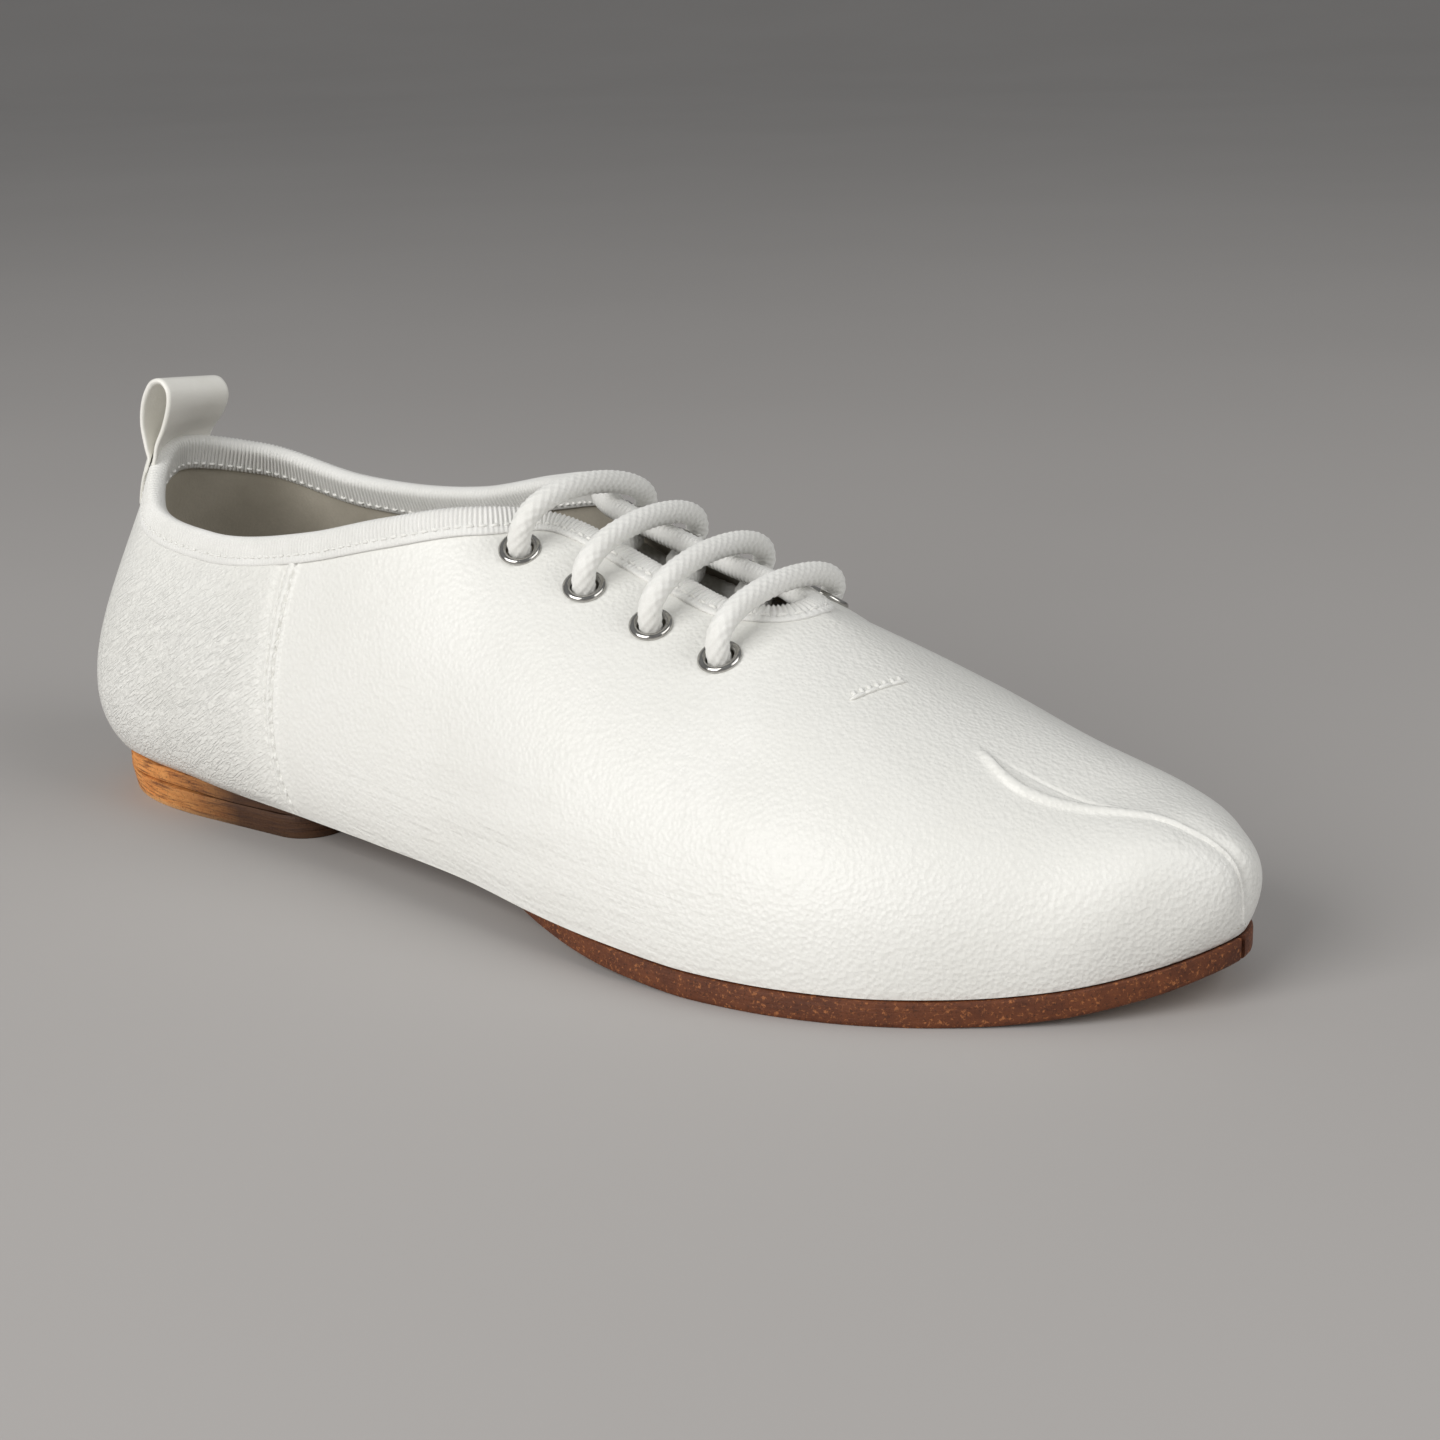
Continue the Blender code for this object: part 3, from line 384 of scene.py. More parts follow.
class Surface:
    """Grid of the upper by column and level, with normals; level 0 is the turned-in foot."""

    def __init__(self):
        self.u = column_places()
        rows = sections_at(self.u)
        control = rows[:, :12].reshape(-1, 4, 3)
        self.facing = unit(rows[:, 12:15])
        self.sole_edge = rows[:, 15]
        self.count = len(self.u)
        self.half = int(np.argmin(np.abs(self.u - row_place(1, 0))))
        self.ridge = int(np.argmin(np.abs(self.u - row_place(-1, THROAT_END_ROW))))
        self.round_throat_end(control)
        self.weld_ridge(control[:, 3])
        self.base = control[:, 0]
        self.plain = self.levels(control)
        self.medial = self.u > row_place(1, 0)
        self.along = self.along_split()
        self.normals = self.find_normals(self.plain)
        self.fill_vamp()
        self.normals = self.find_normals(self.plain)
        self.outside = self.plain + self.normals * self.heights()[:, :, None]

    def fill_vamp(self):
        """Round out the middle line behind the split, where the leather runs on from side to side."""
        nodes = np.linspace(-2, 2, 17)
        weights = bell(nodes, 1.4)
        weights = weights / weights.sum()
        for k in range(1, self.ridge + 1):
            reach = float(np.interp(self.along[k], *np.transpose(VAMP_ROUND)))
            sides = (k, self.count - k)
            across = np.concatenate([-self.from_top[k, 1:], self.from_top[-k, -2:0:-1]])
            line = np.concatenate([self.plain[k, 1:], self.plain[-k, -2:0:-1]])
            for side, sign in zip(sides, (-1, 1)):
                places = sign * self.from_top[side][:, None] + reach * nodes
                mean = np.stack([np.interp(places, across, line[:, a]) @ weights for a in range(3)], 1)
                rise = np.sum((mean - self.plain[side]) * self.normals[side], axis=1)
                near = 1 - smooth_step(self.from_top[side], 2 * reach, 4 * reach + 1)
                self.plain[side] += self.normals[side] * (rise * near)[:, None]

    def round_throat_end(self, control):
        """Half circle at the slot's front end, between the last two throat rows."""
        for side in (-1, 1):
            low = ROWS[SIDE_ROWS + side * THROAT_LOW_ROW, 9:12]
            end = ROWS[SIDE_ROWS + side * THROAT_END_ROW, 9:12]
            handle = ROWS[SIDE_ROWS + side * THROAT_END_ROW, 6:9]
            rise = SLOT_HALF * (end[2] - handle[2]) / abs(end[1] - handle[1])
            part = self.throat_part(side)
            for k in np.nonzero((part >= 0) & (part <= 1))[0]:
                turn = part[k] * np.pi / 2
                ahead = np.sin(turn)
                across = 1 - np.cos(turn)
                control[k, 3, 0] = end[0] - SLOT_HALF * (1 - ahead)
                control[k, 3, 1] = end[1] + side * SLOT_HALF * (1 - across)
                control[k, 3, 2] = low[2] + (end[2] - low[2] - rise) * ahead + rise * across

    def throat_part(self, side):
        """0 at the last straight throat row, 1 at the slot's front end."""
        low = row_place(side, THROAT_LOW_ROW)
        end = row_place(side, THROAT_END_ROW)
        return (self.u - low) / (end - low)

    def weld_ridge(self, top):
        """Both sides share their top points from the throat's end to the notch."""
        for k in range(1, self.ridge + 1):
            middle = 0.5 * (top[k] + top[self.count - k])
            top[k] = middle
            top[self.count - k] = middle

    def levels(self, control):
        """Points up each section by length, with close levels near the top."""
        t = np.linspace(0, 1, 241)[None, :, None]
        dense = bezier(t, *[control[:, None, k] for k in range(4)])
        grid = []
        self.from_top = []
        self.from_base = []
        for line, facing, edge in zip(dense, self.facing, self.sole_edge):
            run = run_along(line)
            close = min(UPPER_LEVEL_STEP, 0.5 * run[-1] / UPPER_LEVELS)
            low = np.linspace(0, run[-1] - UPPER_LEVELS * close, LOWER_LEVELS)
            high = run[-1] - close * np.arange(UPPER_LEVELS - 1, -1, -1)
            place = np.concatenate([low, high])
            foot = line[0] - facing * max(TURN_IN_LEAST, TURN_IN - edge)
            foot[2] = sole_height(foot[0], 2) + GAP
            grid.append(np.concatenate([[foot], points_at(place, run, line)]))
            self.from_top.append(run[-1] - np.concatenate([[0], place]))
            self.from_base.append(np.concatenate([[0], place]))
        self.from_top = np.array(self.from_top)
        self.from_base = np.array(self.from_base)
        return np.array(grid)

    def find_normals(self, points):
        """Outward unit normals, shared along the welded ridge and blended where the throat's end fans out."""
        along = np.roll(points, -1, 0) - np.roll(points, 1, 0)
        up = np.gradient(points, axis=1)
        normals = np.cross(up, along)
        normals = normals / np.maximum(np.linalg.norm(normals, axis=2), 1e-9)[:, :, None]
        top = normals[:, -1]
        for k in range(1, self.ridge + 1):
            shared = unit(top[k] + top[-k])
            for side in (k, -k):
                near = smooth_step(self.from_top[side], 0.0, 3.0)[:, None]
                blend = (1 - near) * shared + near * normals[side]
                normals[side] = unit(blend)
        top[0] = top[1]
        for side in (-1, 1):
            part = self.throat_part(side)
            fan = np.nonzero((part >= 0) & (part <= 1))[0]
            first = normals[fan[np.argmin(part[fan])]].copy()
            last = normals[fan[np.argmax(part[fan])]].copy()
            for k in fan:
                blend = (1 - part[k]) * first + part[k] * last
                normals[k] = unit(blend)
        return normals

    def inner_corner(self, points):
        """Inside of the corner where the wall's foot turns in over the sole."""
        corner = points[:, 1]
        along = np.roll(corner, -1, 0) - np.roll(corner, 1, 0)
        wall = unit(np.cross(points[:, 3] - corner, along))
        foot = self.normals[:, 0]
        return corner - WALL * (wall + foot) / (1 + np.sum(wall * foot, axis=1))[:, None]

    def from_seam(self, side):
        """Distance of each column from a panel seam, positive towards the toe."""
        return side * (self.u - row_place(side, SEAM_ROW))

    def panel(self):
        """Lapped heel panel with its sewn seam band."""
        fade = smooth_step(self.from_top, 3.5, 6.0) * smooth_step(self.from_base, 0.5, 3.0)
        total = np.zeros_like(self.from_top)
        inside = np.ones(self.count)
        for side in (-1, 1):
            d = self.from_seam(side)
            inside = inside * (1 - smooth_step(d, -0.35, 0.3))
        total += PANEL_STEP * inside[:, None]
        from_stitch = self.from_base - STITCH_FIRST - 0.5 * STITCH_LENGTH
        pull = SEAM_PULL_MEAN - SEAM_PULL_SWING * np.cos(2 * np.pi * from_stitch / STITCH_PITCH)
        for side in (-1, 1):
            d = self.from_seam(side)[:, None] - SEAM_MIDDLE
            half_gap = self.seam_half_gap(self.from_base / (self.from_base + self.from_top))
            rows = bell(d - half_gap, SEAM_GROOVE) + bell(d + half_gap, SEAM_GROOVE)
            total -= SEAM_PULL * rows * pull
            total += SEAM_PUFF * bell(d, 0.8 * half_gap)
            total -= SEAM_HOLLOW * bell(d + half_gap + SEAM_HOLLOW_AWAY, SEAM_HOLLOW_WIDTH)
        return total * fade

    def seam_half_gap(self, height):
        """Half the distance between the seam's stitch rows at a share of the wall's height."""
        return 0.5 * np.interp(height, *np.transpose(SEAM_GAPS))

    def outside_at(self, u, above):
        """Point of the finished outside and its normal at a loop position, above the sole."""
        right = int(np.searchsorted(self.u, u))
        share = (u - self.u[right - 1]) / (self.u[right] - self.u[right - 1])
        values = []
        for grid in (self.outside, self.normals):
            left_side, right_side = [points_at(above, self.from_base[c], grid[c]) for c in (right - 1, right)]
            values.append((1 - share) * left_side + share * right_side)
        return values[0], unit(values[1])

    def along_split(self):
        """Distance along the middle line from the split's start to each column, negative before it."""
        start = int(np.argmin(np.abs(self.u - row_place(-1, SPLIT_ROW))))
        top = self.plain[:, -1]
        along = np.full(self.count, -50.0)
        place = 0.0
        for k in range(start, 0, -1):
            along[k] = place
            along[-k] = place
            place += np.linalg.norm(top[k] - top[k - 1])
        along[0] = place
        place = 0.0
        for k in range(start + 1, self.ridge + 1):
            place -= np.linalg.norm(top[k] - top[k - 1])
            along[k] = place
            along[-k] = place
        return along

    def split(self):
        """Rolled edge, groove, flush gusset and its far line at the split toe."""
        along = self.along
        table = np.array(SPLIT)
        v = {name: np.interp(along, table[:, 0], column)[:, None]
             for name, column in zip(SPLIT_COLUMNS, table.T)}
        across = np.where(self.medial[:, None], self.from_top, -self.from_top)
        d = across - v["groove"]
        t = np.clip(-d / v["ridge"], 0, 1)
        ridge = v["height"] * np.sqrt(np.clip(1 - (2 * t - 1)**2, 0, 1)) * (d < 0)
        started = smooth_step(along, -0.5, 2.0)[:, None]
        groove = -GROOVE_DEPTH * bell(d - 0.12, 0.30) * started
        edge = v["lens"]
        sunk = -v["sink"] * smooth_step(d, 0.0, 0.3) * (1 - smooth_step(d, edge - 0.2, edge + 0.1))
        far_line = -v["sink"] * bell(d - edge, 0.28)
        return (ridge + groove + sunk + far_line) * (along > -3)[:, None]

    def creases(self):
        """Soft troughs with a low ridge on each side."""
        total = np.zeros_like(self.from_top)
        for row in CREASES:
            v = dict(zip(CREASE_COLUMNS, row))
            place = v["side"] * (self.u - row_place(1, 0))
            p = np.stack(np.broadcast_arrays(place[:, None], self.from_base), -1)
            a = np.array([v["from_1"], v["above_1"]], float)
            b = np.array([v["from_2"], v["above_2"]], float)
            t = np.clip(((p - a) @ (b - a)) / ((b - a) @ (b - a)), 0, 1)
            distance = np.linalg.norm(p - (a + t[..., None] * (b - a)), axis=-1)
            taper = np.sin(np.pi * np.clip(t, 0.02, 0.98))
            shape = -bell(distance, v["width"]) + 0.45 * bell(distance - 1.8 * v["width"], v["width"])
            total += v["depth"] * taper * shape
        return total * smooth_step(self.from_base, 0.5, 4.0)

    def heights(self):
        """Everything that stands out of or sinks into the plain surface."""
        return self.panel() + self.split() + self.creases()

    def opening(self):
        """Column numbers round the collar and throat, from the throat's end back to it."""
        return np.arange(self.ridge, self.count - self.ridge)


def grid_faces(columns, levels, start=0):
    """Quads of a grid stored column by column and joined round."""
    i = np.arange(columns)
    j = np.arange(levels - 1)
    a = start + i[:, None] * levels + j
    b = start + ((i + 1) % columns)[:, None] * levels + j
    return np.stack([a, b, b + 1, a + 1], -1).reshape(-1, 4)


def tube_faces(rings, around, closed):
    """Quads of rings that are closed round themselves, in a row or joined into a loop."""
    i = np.arange(rings if closed else rings - 1)
    j = np.arange(around)
    k = (j + 1) % around
    n = (i + 1) % rings
    return np.stack([i[:, None] * around + j, i[:, None] * around + k,
                     n[:, None] * around + k, n[:, None] * around + j], -1).reshape(-1, 4)


def capped_faces(rings, around):
    """Quads of a row of rings, with its first and last ring filled in."""
    faces = [tuple(f) for f in tube_faces(rings, around, False)]
    faces.append(tuple(range(around)))
    faces.append(tuple(range((rings - 1) * around, rings * around)))
    return faces


def add_piece(name, points, faces, materials, slots=None, smooth_angle=None):
    """New object from millimetre points of the shoe frame, faces turned outward."""
    mesh = bpy.data.meshes.new(name)
    mesh.from_pydata((np.asarray(points) + SHIFT) * MM, [], [tuple(f) for f in faces])
    for material in materials:
        mesh.materials.append(material)
    if slots is not None:
        mesh.polygons.foreach_set("material_index", np.asarray(slots, np.int32))
    work = bmesh.new()
    work.from_mesh(mesh)
    bmesh.ops.remove_doubles(work, verts=work.verts, dist=1e-7)
    bmesh.ops.recalc_face_normals(work, faces=work.faces)
    work.to_mesh(mesh)
    work.free()
    mesh.shade_smooth()
    if smooth_angle is not None:
        mesh.set_sharp_from_angle(angle=smooth_angle)
    item = bpy.data.objects.new(name, mesh)
    bpy.context.scene.collection.objects.link(item)
    return item


def dress(item, slot, *nodes):
    """Ride on the shoe's one body and stand for solids; slot is not used."""
    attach(item, "root")
    if nodes:
        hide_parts(*nodes)
    return item


class Look:
    """Principled material with short helpers for procedural nodes in object coordinates."""

    def __init__(self, name, **constants):
        self.material = bpy.data.materials.new(name)
        self.material.use_nodes = True
        self.tree = self.material.node_tree
        self.shader = self.tree.nodes["Principled BSDF"]
        for key, value in constants.items():
            self.shader.inputs[key.replace("_", " ").title()].default_value = value
        self.place = self.add("ShaderNodeTexCoord").outputs["Object"]

    def add(self, kind, inputs=None, **settings):
        """New node with its settings, and inputs given as values or as other nodes' outputs."""
        node = self.tree.nodes.new(kind)
        for key, value in settings.items():
            setattr(node, key, value)
        for key, value in (inputs or {}).items():
            socket = node.inputs[key]
            if isinstance(value, bpy.types.NodeSocket):
                self.tree.links.new(value, socket)
            else:
                socket.default_value = value
        return node

    def stretched(self, lengths, rise=0.0):
        """Coordinates drawn out by lengths, the first along the shoe and rising by an angle."""
        inputs = {"Vector": self.place, "Rotation": (0.0, -np.radians(rise), 0.0), "Scale": lengths}
        return self.add("ShaderNodeMapping", inputs, vector_type="TEXTURE").outputs["Vector"]

    def axis(self, name):
        """One shoe coordinate in millimetres."""
        parts = self.add("ShaderNodeSeparateXYZ", {0: self.place})
        shifted = self.math("MULTIPLY", parts.outputs[name], 1 / MM)
        return self.math("SUBTRACT", shifted, SHIFT["XYZ".index(name)])

    def lines(self, height, width):
        """Narrow valleys where a noise crosses its middle, 0 in them and 1 beside."""
        apart = self.math("ABSOLUTE", self.math("SUBTRACT", height, 0.5))
        return self.span(apart, 0.0, width)

    def noise(self, size, detail=3.0, rough=0.55, place=None, distortion=0.0):
        """Noise with features of about this size in millimetres."""
        inputs = {"Vector": place or self.place, "Scale": 1 / (size * MM), "Detail": detail,
                  "Roughness": rough, "Distortion": distortion}
        return self.add("ShaderNodeTexNoise", inputs).outputs["Fac"]

    def cells(self, size, smooth):
        """Soft cells of about this size in millimetres."""
        inputs = {"Vector": self.place, "Scale": 1 / (size * MM), "Smoothness": smooth}
        return self.add("ShaderNodeTexVoronoi", inputs, feature="SMOOTH_F1").outputs["Distance"]

    def span(self, value, low, high, to_low=0.0, to_high=1.0):
        """Value mapped from one range to another, clamped."""
        inputs = {"Value": value, "From Min": low, "From Max": high, "To Min": to_low, "To Max": to_high}
        return self.add("ShaderNodeMapRange", inputs).outputs["Result"]

    def math(self, operation, a, b=0.0):
        """One maths step."""
        node = self.add("ShaderNodeMath", {0: a, 1: b}, operation=operation)
        return node.outputs["Value"]

    def mix(self, share, first, second):
        """Colour between two colours."""
        node = self.add("ShaderNodeMix", data_type="RGBA")
        for key, value in (("Factor", share), ("A", first), ("B", second)):
            kind = "VALUE" if key == "Factor" else "RGBA"
            socket = [s for s in node.inputs if s.name == key and s.type == kind][0]
            if isinstance(value, bpy.types.NodeSocket):
                self.tree.links.new(value, socket)
            else:
                socket.default_value = (*value, 1.0) if kind == "RGBA" else value
        return [s for s in node.outputs if s.type == "RGBA"][0]

    def bump(self, height, depth, under=None):
        """Bump of a depth in millimetres, on top of another bump."""
        node = self.add("ShaderNodeBump", {"Height": height, "Distance": depth * MM, "Strength": 1.0})
        if under is not None:
            self.tree.links.new(under, node.inputs["Normal"])
        return node.outputs["Normal"]

    def wear(self, **links):
        """Link outputs to the shader's sockets."""
        for key, value in links.items():
            self.tree.links.new(value, self.shader.inputs[key.replace("_", " ").title()])
        return self.material


def white_leather():
    """Clean white leather: pebbles, pores, slanting wrinkles on the heel and long level ones at the waist,
    with painted shade darkening the valleys of the heel wrinkles.
    """
    look = Look("white_leather", roughness=0.42, coat_weight=0.05, coat_roughness=0.35)
    along = look.axis("X")
    above = look.axis("Z")
    heel = look.span(along, 60.0, 80.0, 1.0, 0.0)
    heel = look.math("MULTIPLY", heel, look.span(above, 42.0, 62.0, 1.0, 0.25))
    waist = look.math("MULTIPLY", look.span(along, 78.0, 95.0), look.span(along, 170.0, 205.0, 1.0, 0.0))
    waist = look.math("MULTIPLY", waist, look.span(above, 18.0, 34.0, 1.0, 0.0))
    pebbles = look.cells(0.85, smooth=0.35)
    coarse = look.noise(1.1, 3.0, 0.6, distortion=0.5)
    pores = look.noise(0.32, 4.0, 0.6)
    slanting = look.noise(0.66, 2.0, 0.5, look.stretched((6.0, 2.0, 1.0), 34.0), 0.3)
    level = look.noise(1.35, 2.5, 0.5, look.stretched((9.0, 3.0, 1.0), -5.0), 0.5)
    patches = look.noise(26.0, 2.0)
    normal = look.bump(pebbles, 0.13)
    normal = look.bump(coarse, 0.10, normal)
    normal = look.bump(look.math("MULTIPLY", look.lines(slanting, 0.12), heel), 0.13, normal)
    normal = look.bump(look.math("MULTIPLY", level, waist), 0.26, normal)
    normal = look.bump(pores, 0.04, normal)
    colour = look.mix(look.span(patches, 0.3, 0.7), (0.81, 0.805, 0.77), (0.85, 0.845, 0.815))
    # Painted shade: the valleys of the slanting heel wrinkles are darkened in the colour, as shade in the
    # creases.
    wrinkle_painted_shade = look.math("MULTIPLY", look.lines(slanting, 0.05), heel)
    wrinkle_painted_shade = look.math("SUBTRACT", heel, wrinkle_painted_shade)
    colour = look.mix(look.math("MULTIPLY", wrinkle_painted_shade, 0.30), colour, (0.66, 0.655, 0.63))
    colour = look.mix(look.span(pebbles, 0.45, 0.8, 0.0, 0.22), colour, (0.74, 0.735, 0.70))
    rough = look.span(pores, 0.3, 0.7, 0.36, 0.50)
    return look.wear(base_color=colour, roughness=rough, normal=normal)


def thread_finish():
    """Bright sewing thread, with its twist."""
    look = Look("thread", roughness=0.6, sheen_weight=0.2, sheen_roughness=0.5)
    twist = look.noise(0.25, 2.0, 0.5)
    colour = look.mix(look.span(twist, 0.3, 0.7), (0.80, 0.795, 0.76), (0.88, 0.875, 0.85))
    return look.wear(base_color=colour, normal=look.bump(twist, 0.05))


def lining():
    """Grey-beige lining, matt and a little uneven."""
    look = Look("lining", roughness=0.85, sheen_weight=0.15)
    patches = look.noise(14.0, 4.0)
    nap = look.noise(0.5, 4.0, 0.65)
    colour = look.mix(look.span(patches, 0.3, 0.7), (0.38, 0.345, 0.28), (0.50, 0.46, 0.385))
    colour = look.mix(look.span(nap, 0.35, 0.65, 0.0, 0.35), colour, (0.34, 0.305, 0.25))
    return look.wear(base_color=colour, normal=look.bump(nap, 0.12))


def ribbed_tape():
    """White cotton tape; its ribs are in the mesh, the yarn here."""
    look = Look("ribbed_tape", roughness=0.85, sheen_weight=0.25, sheen_roughness=0.5)
    yarn = look.noise(0.28, 3.0, 0.6)
    patches = look.noise(9.0, 3.0)
    colour = look.mix(look.span(patches, 0.3, 0.7), (0.80, 0.795, 0.77), (0.86, 0.855, 0.835))
    colour = look.mix(look.span(yarn, 0.3, 0.6, 0.35, 0.0), colour, (0.68, 0.675, 0.65))
    return look.wear(base_color=colour, normal=look.bump(yarn, 0.12))


def cord():
    """White braided cord; the braid is in the mesh, the fibres here."""
    look = Look("lace_cord", roughness=0.85, sheen_weight=0.3, sheen_roughness=0.5)
    fibre = look.noise(0.22, 3.0, 0.6)
    patches = look.noise(7.0, 3.0)
    colour = look.mix(look.span(patches, 0.3, 0.7), (0.85, 0.845, 0.815), (0.90, 0.895, 0.87))
    colour = look.mix(look.span(fibre, 0.3, 0.6, 0.3, 0.0), colour, (0.68, 0.67, 0.63))
    return look.wear(base_color=colour, normal=look.bump(fibre, 0.1))


def nickel():
    """Polished nickel with faint turning marks and haze."""
    look = Look("nickel", metallic=1.0, roughness=0.2)
    haze = look.noise(1.6, 3.0)
    marks = look.noise(0.12, 2.0)
    colour = look.mix(look.span(haze, 0.3, 0.7), (0.42, 0.41, 0.39), (0.54, 0.53, 0.51))
    rough = look.span(haze, 0.3, 0.7, 0.08, 0.18)
    return look.wear(base_color=colour, roughness=rough, normal=look.bump(marks, 0.008))


def loop_leather():
    """Smooth cream leather of the pull loop."""
    look = Look("loop_leather", roughness=0.4, coat_weight=0.08, coat_roughness=0.3)
    patches = look.noise(8.0, 3.0)
    grain = look.cells(0.6, smooth=0.5)
    colour = look.mix(look.span(patches, 0.3, 0.7), (0.86, 0.845, 0.79), (0.90, 0.885, 0.84))
    return look.wear(base_color=colour, roughness=look.span(patches, 0.3, 0.7, 0.36, 0.48),
                     normal=look.bump(grain, 0.03))


def burnished(name):
    """Burnished leather edge: orange-tan layers at the heel with painted shade darkening them towards its
    breast, then speckled red-brown.
    """
    look = Look(name, roughness=0.6)
    along = look.axis("X")
    above = look.axis("Z")
    patches = look.noise(5.0, 4.0, 0.6)
    layers = look.noise(0.8, 4.0, 0.65, look.stretched((9.0, 9.0, 0.6)))
    specks = look.noise(0.5, 3.0, 0.7)
    grains = look.noise(0.75, 3.0, 0.7, distortion=0.4)
    tan = look.mix(look.span(patches, 0.3, 0.7), (0.66, 0.235, 0.055), (0.88, 0.40, 0.12))
    tan = look.mix(look.span(layers, 0.47, 0.62, 0.0, 0.85), tan, (0.17, 0.05, 0.014))
    tan = look.mix(look.span(above, 0.5, 1.1, 0.6, 0.0), tan, (0.72, 0.42, 0.19))
    red = look.mix(look.span(patches, 0.3, 0.7), (0.075, 0.017, 0.004), (0.15, 0.040, 0.010))
    red = look.mix(look.span(grains, 0.56, 0.68, 0.0, 0.8), red, (0.42, 0.15, 0.045))
    # Painted shade: the tan side darkens towards the heel's breast, as shadow under the overhanging upper.
    breast = look.span(along, 24.0, 52.0)
    tan_with_painted_shade = look.mix(look.math("MULTIPLY", breast, 0.95), tan, (0.035, 0.012, 0.004))
    colour = look.mix(look.span(along, 70.0, 84.0), tan_with_painted_shade, red)
    colour = look.mix(look.span(specks, 0.55, 0.70, 0.0, 0.75), colour, (0.03, 0.010, 0.004))
    rough = look.span(specks, 0.3, 0.7, 0.55, 0.75)
    normal = look.bump(layers, 0.10, look.bump(specks, 0.09))
    return look.wear(base_color=colour, roughness=rough, normal=normal)


def sole_tread():
    """Plain leather tread, lightly worn."""
    look = Look("sole_tread", roughness=0.6)
    patches = look.noise(9.0, 4.0, 0.6)
    scuffs = look.noise(1.1, 4.0, 0.65, look.stretched((7.0, 2.0, 1.0)))
    specks = look.noise(0.6, 3.0, 0.7)
    colour = look.mix(look.span(patches, 0.3, 0.7), (0.36, 0.22, 0.12), (0.48, 0.32, 0.19))
    colour = look.mix(look.span(scuffs, 0.5, 0.75, 0.0, 0.5), colour, (0.22, 0.13, 0.075))
    colour = look.mix(look.span(specks, 0.58, 0.75, 0.0, 0.4), colour, (0.16, 0.09, 0.05))
    return look.wear(base_color=colour, normal=look.bump(scuffs, 0.08, look.bump(specks, 0.05)))


def floor_finish():
    """Plain pale grey floor."""
    look = Look("floor", roughness=0.75)
    patches = look.noise(300.0, 2.0)
    colour = look.mix(look.span(patches, 0.3, 0.7), (0.45, 0.430, 0.420), (0.47, 0.450, 0.440))
    return look.wear(base_color=colour)


def surface_tree(surface):
    """Search tree over the plain outside of the upper."""
    columns, levels = surface.plain.shape[:2]
    points = [Vector(p) for p in surface.plain.reshape(-1, 3)]
    return BVHTree.FromPolygons(points, grid_faces(columns, levels).tolist())


def outside_near(tree, point, guide):
    """Nearest point of the outside and its normal, turned like the guide."""
    place, normal, _, _ = tree.find_nearest(Vector(point))
    normal = np.array(normal)
    if normal @ guide < 0:
        normal = -normal
    return np.array(place), normal


def outside_below(tree, x, y):
    """Point of the outside straight below."""
    place, normal, _, _ = tree.ray_cast(Vector((x, y, 120.0)), Vector((0, 0, -1)))
    return np.array(place), np.array(normal)


def eyelet_seat(tree, number, side):
    """Middle of an eyelet on the leather and the leather's normal there."""
    x, distance = EYELET_PLACES[side][number]
    total = np.zeros(3)
    for ahead, across in ((0, 0), (3, 0), (-3, 0), (0, 3), (0, -3)):
        place, normal = outside_below(tree, x + ahead, side * distance + across)
        if ahead == across == 0:
            middle = place
        total += normal * np.sign(normal[2])
    return middle, unit(total)


def cross_axes(normal):
    """Two unit directions square to the normal."""
    first = unit(np.cross(normal, (0.0, 1.0, 0.0)))
    return first, np.cross(normal, first)


def turned(place, normal, profile, around):
    """Profile turned about an axis: points, closed both ways."""
    first, second = cross_axes(normal)
    points = []
    for angle in np.linspace(0, 2 * np.pi, around, endpoint=False):
        out = first * np.cos(angle) + second * np.sin(angle)
        for radius, height in profile:
            points.append(place + normal * height + radius * out)
    return np.array(points)


def add_upper(surface, seats, leather, inner):
    """Closed leather shell with its lining, eyelet holes cut through."""
    outside = surface.outside
    columns, levels = outside.shape[:2]
    inside = surface.plain - surface.normals * WALL
    inside[:, 1] = surface.inner_corner(surface.plain)
    keep = np.unique(np.concatenate([[0, 1], np.arange(2, levels - 1, INSIDE_STRIDE), [levels - 1]]))
    inside = inside[:, keep]
    short = inside.shape[1]
    start = columns * levels
    points = np.concatenate([outside.reshape(-1, 3), inside.reshape(-1, 3)])
    outer_faces = grid_faces(columns, levels)
    inner_faces = grid_faces(columns, short, start)
    i = np.arange(columns)
    n = (i + 1) % columns
    foot_rim = np.stack([i * levels, n * levels, start + n * short, start + i * short], -1)
    i = surface.opening()
    n = i + 1
    top = levels - 1
    last = short - 1
    top_rim = np.stack([i * levels + top, n * levels + top,
                        start + n * short + last, start + i * short + last], -1)
    faces = np.concatenate([outer_faces, foot_rim, top_rim, inner_faces])
    slots = np.concatenate([np.zeros(len(faces) - len(inner_faces)), np.ones(len(inner_faces))])
    item = add_piece("upper_leather", points, faces, [leather, inner], slots, 0.9)
    cut_holes(item, seats, leather)
    return dress(item, "white_leather", "upper")


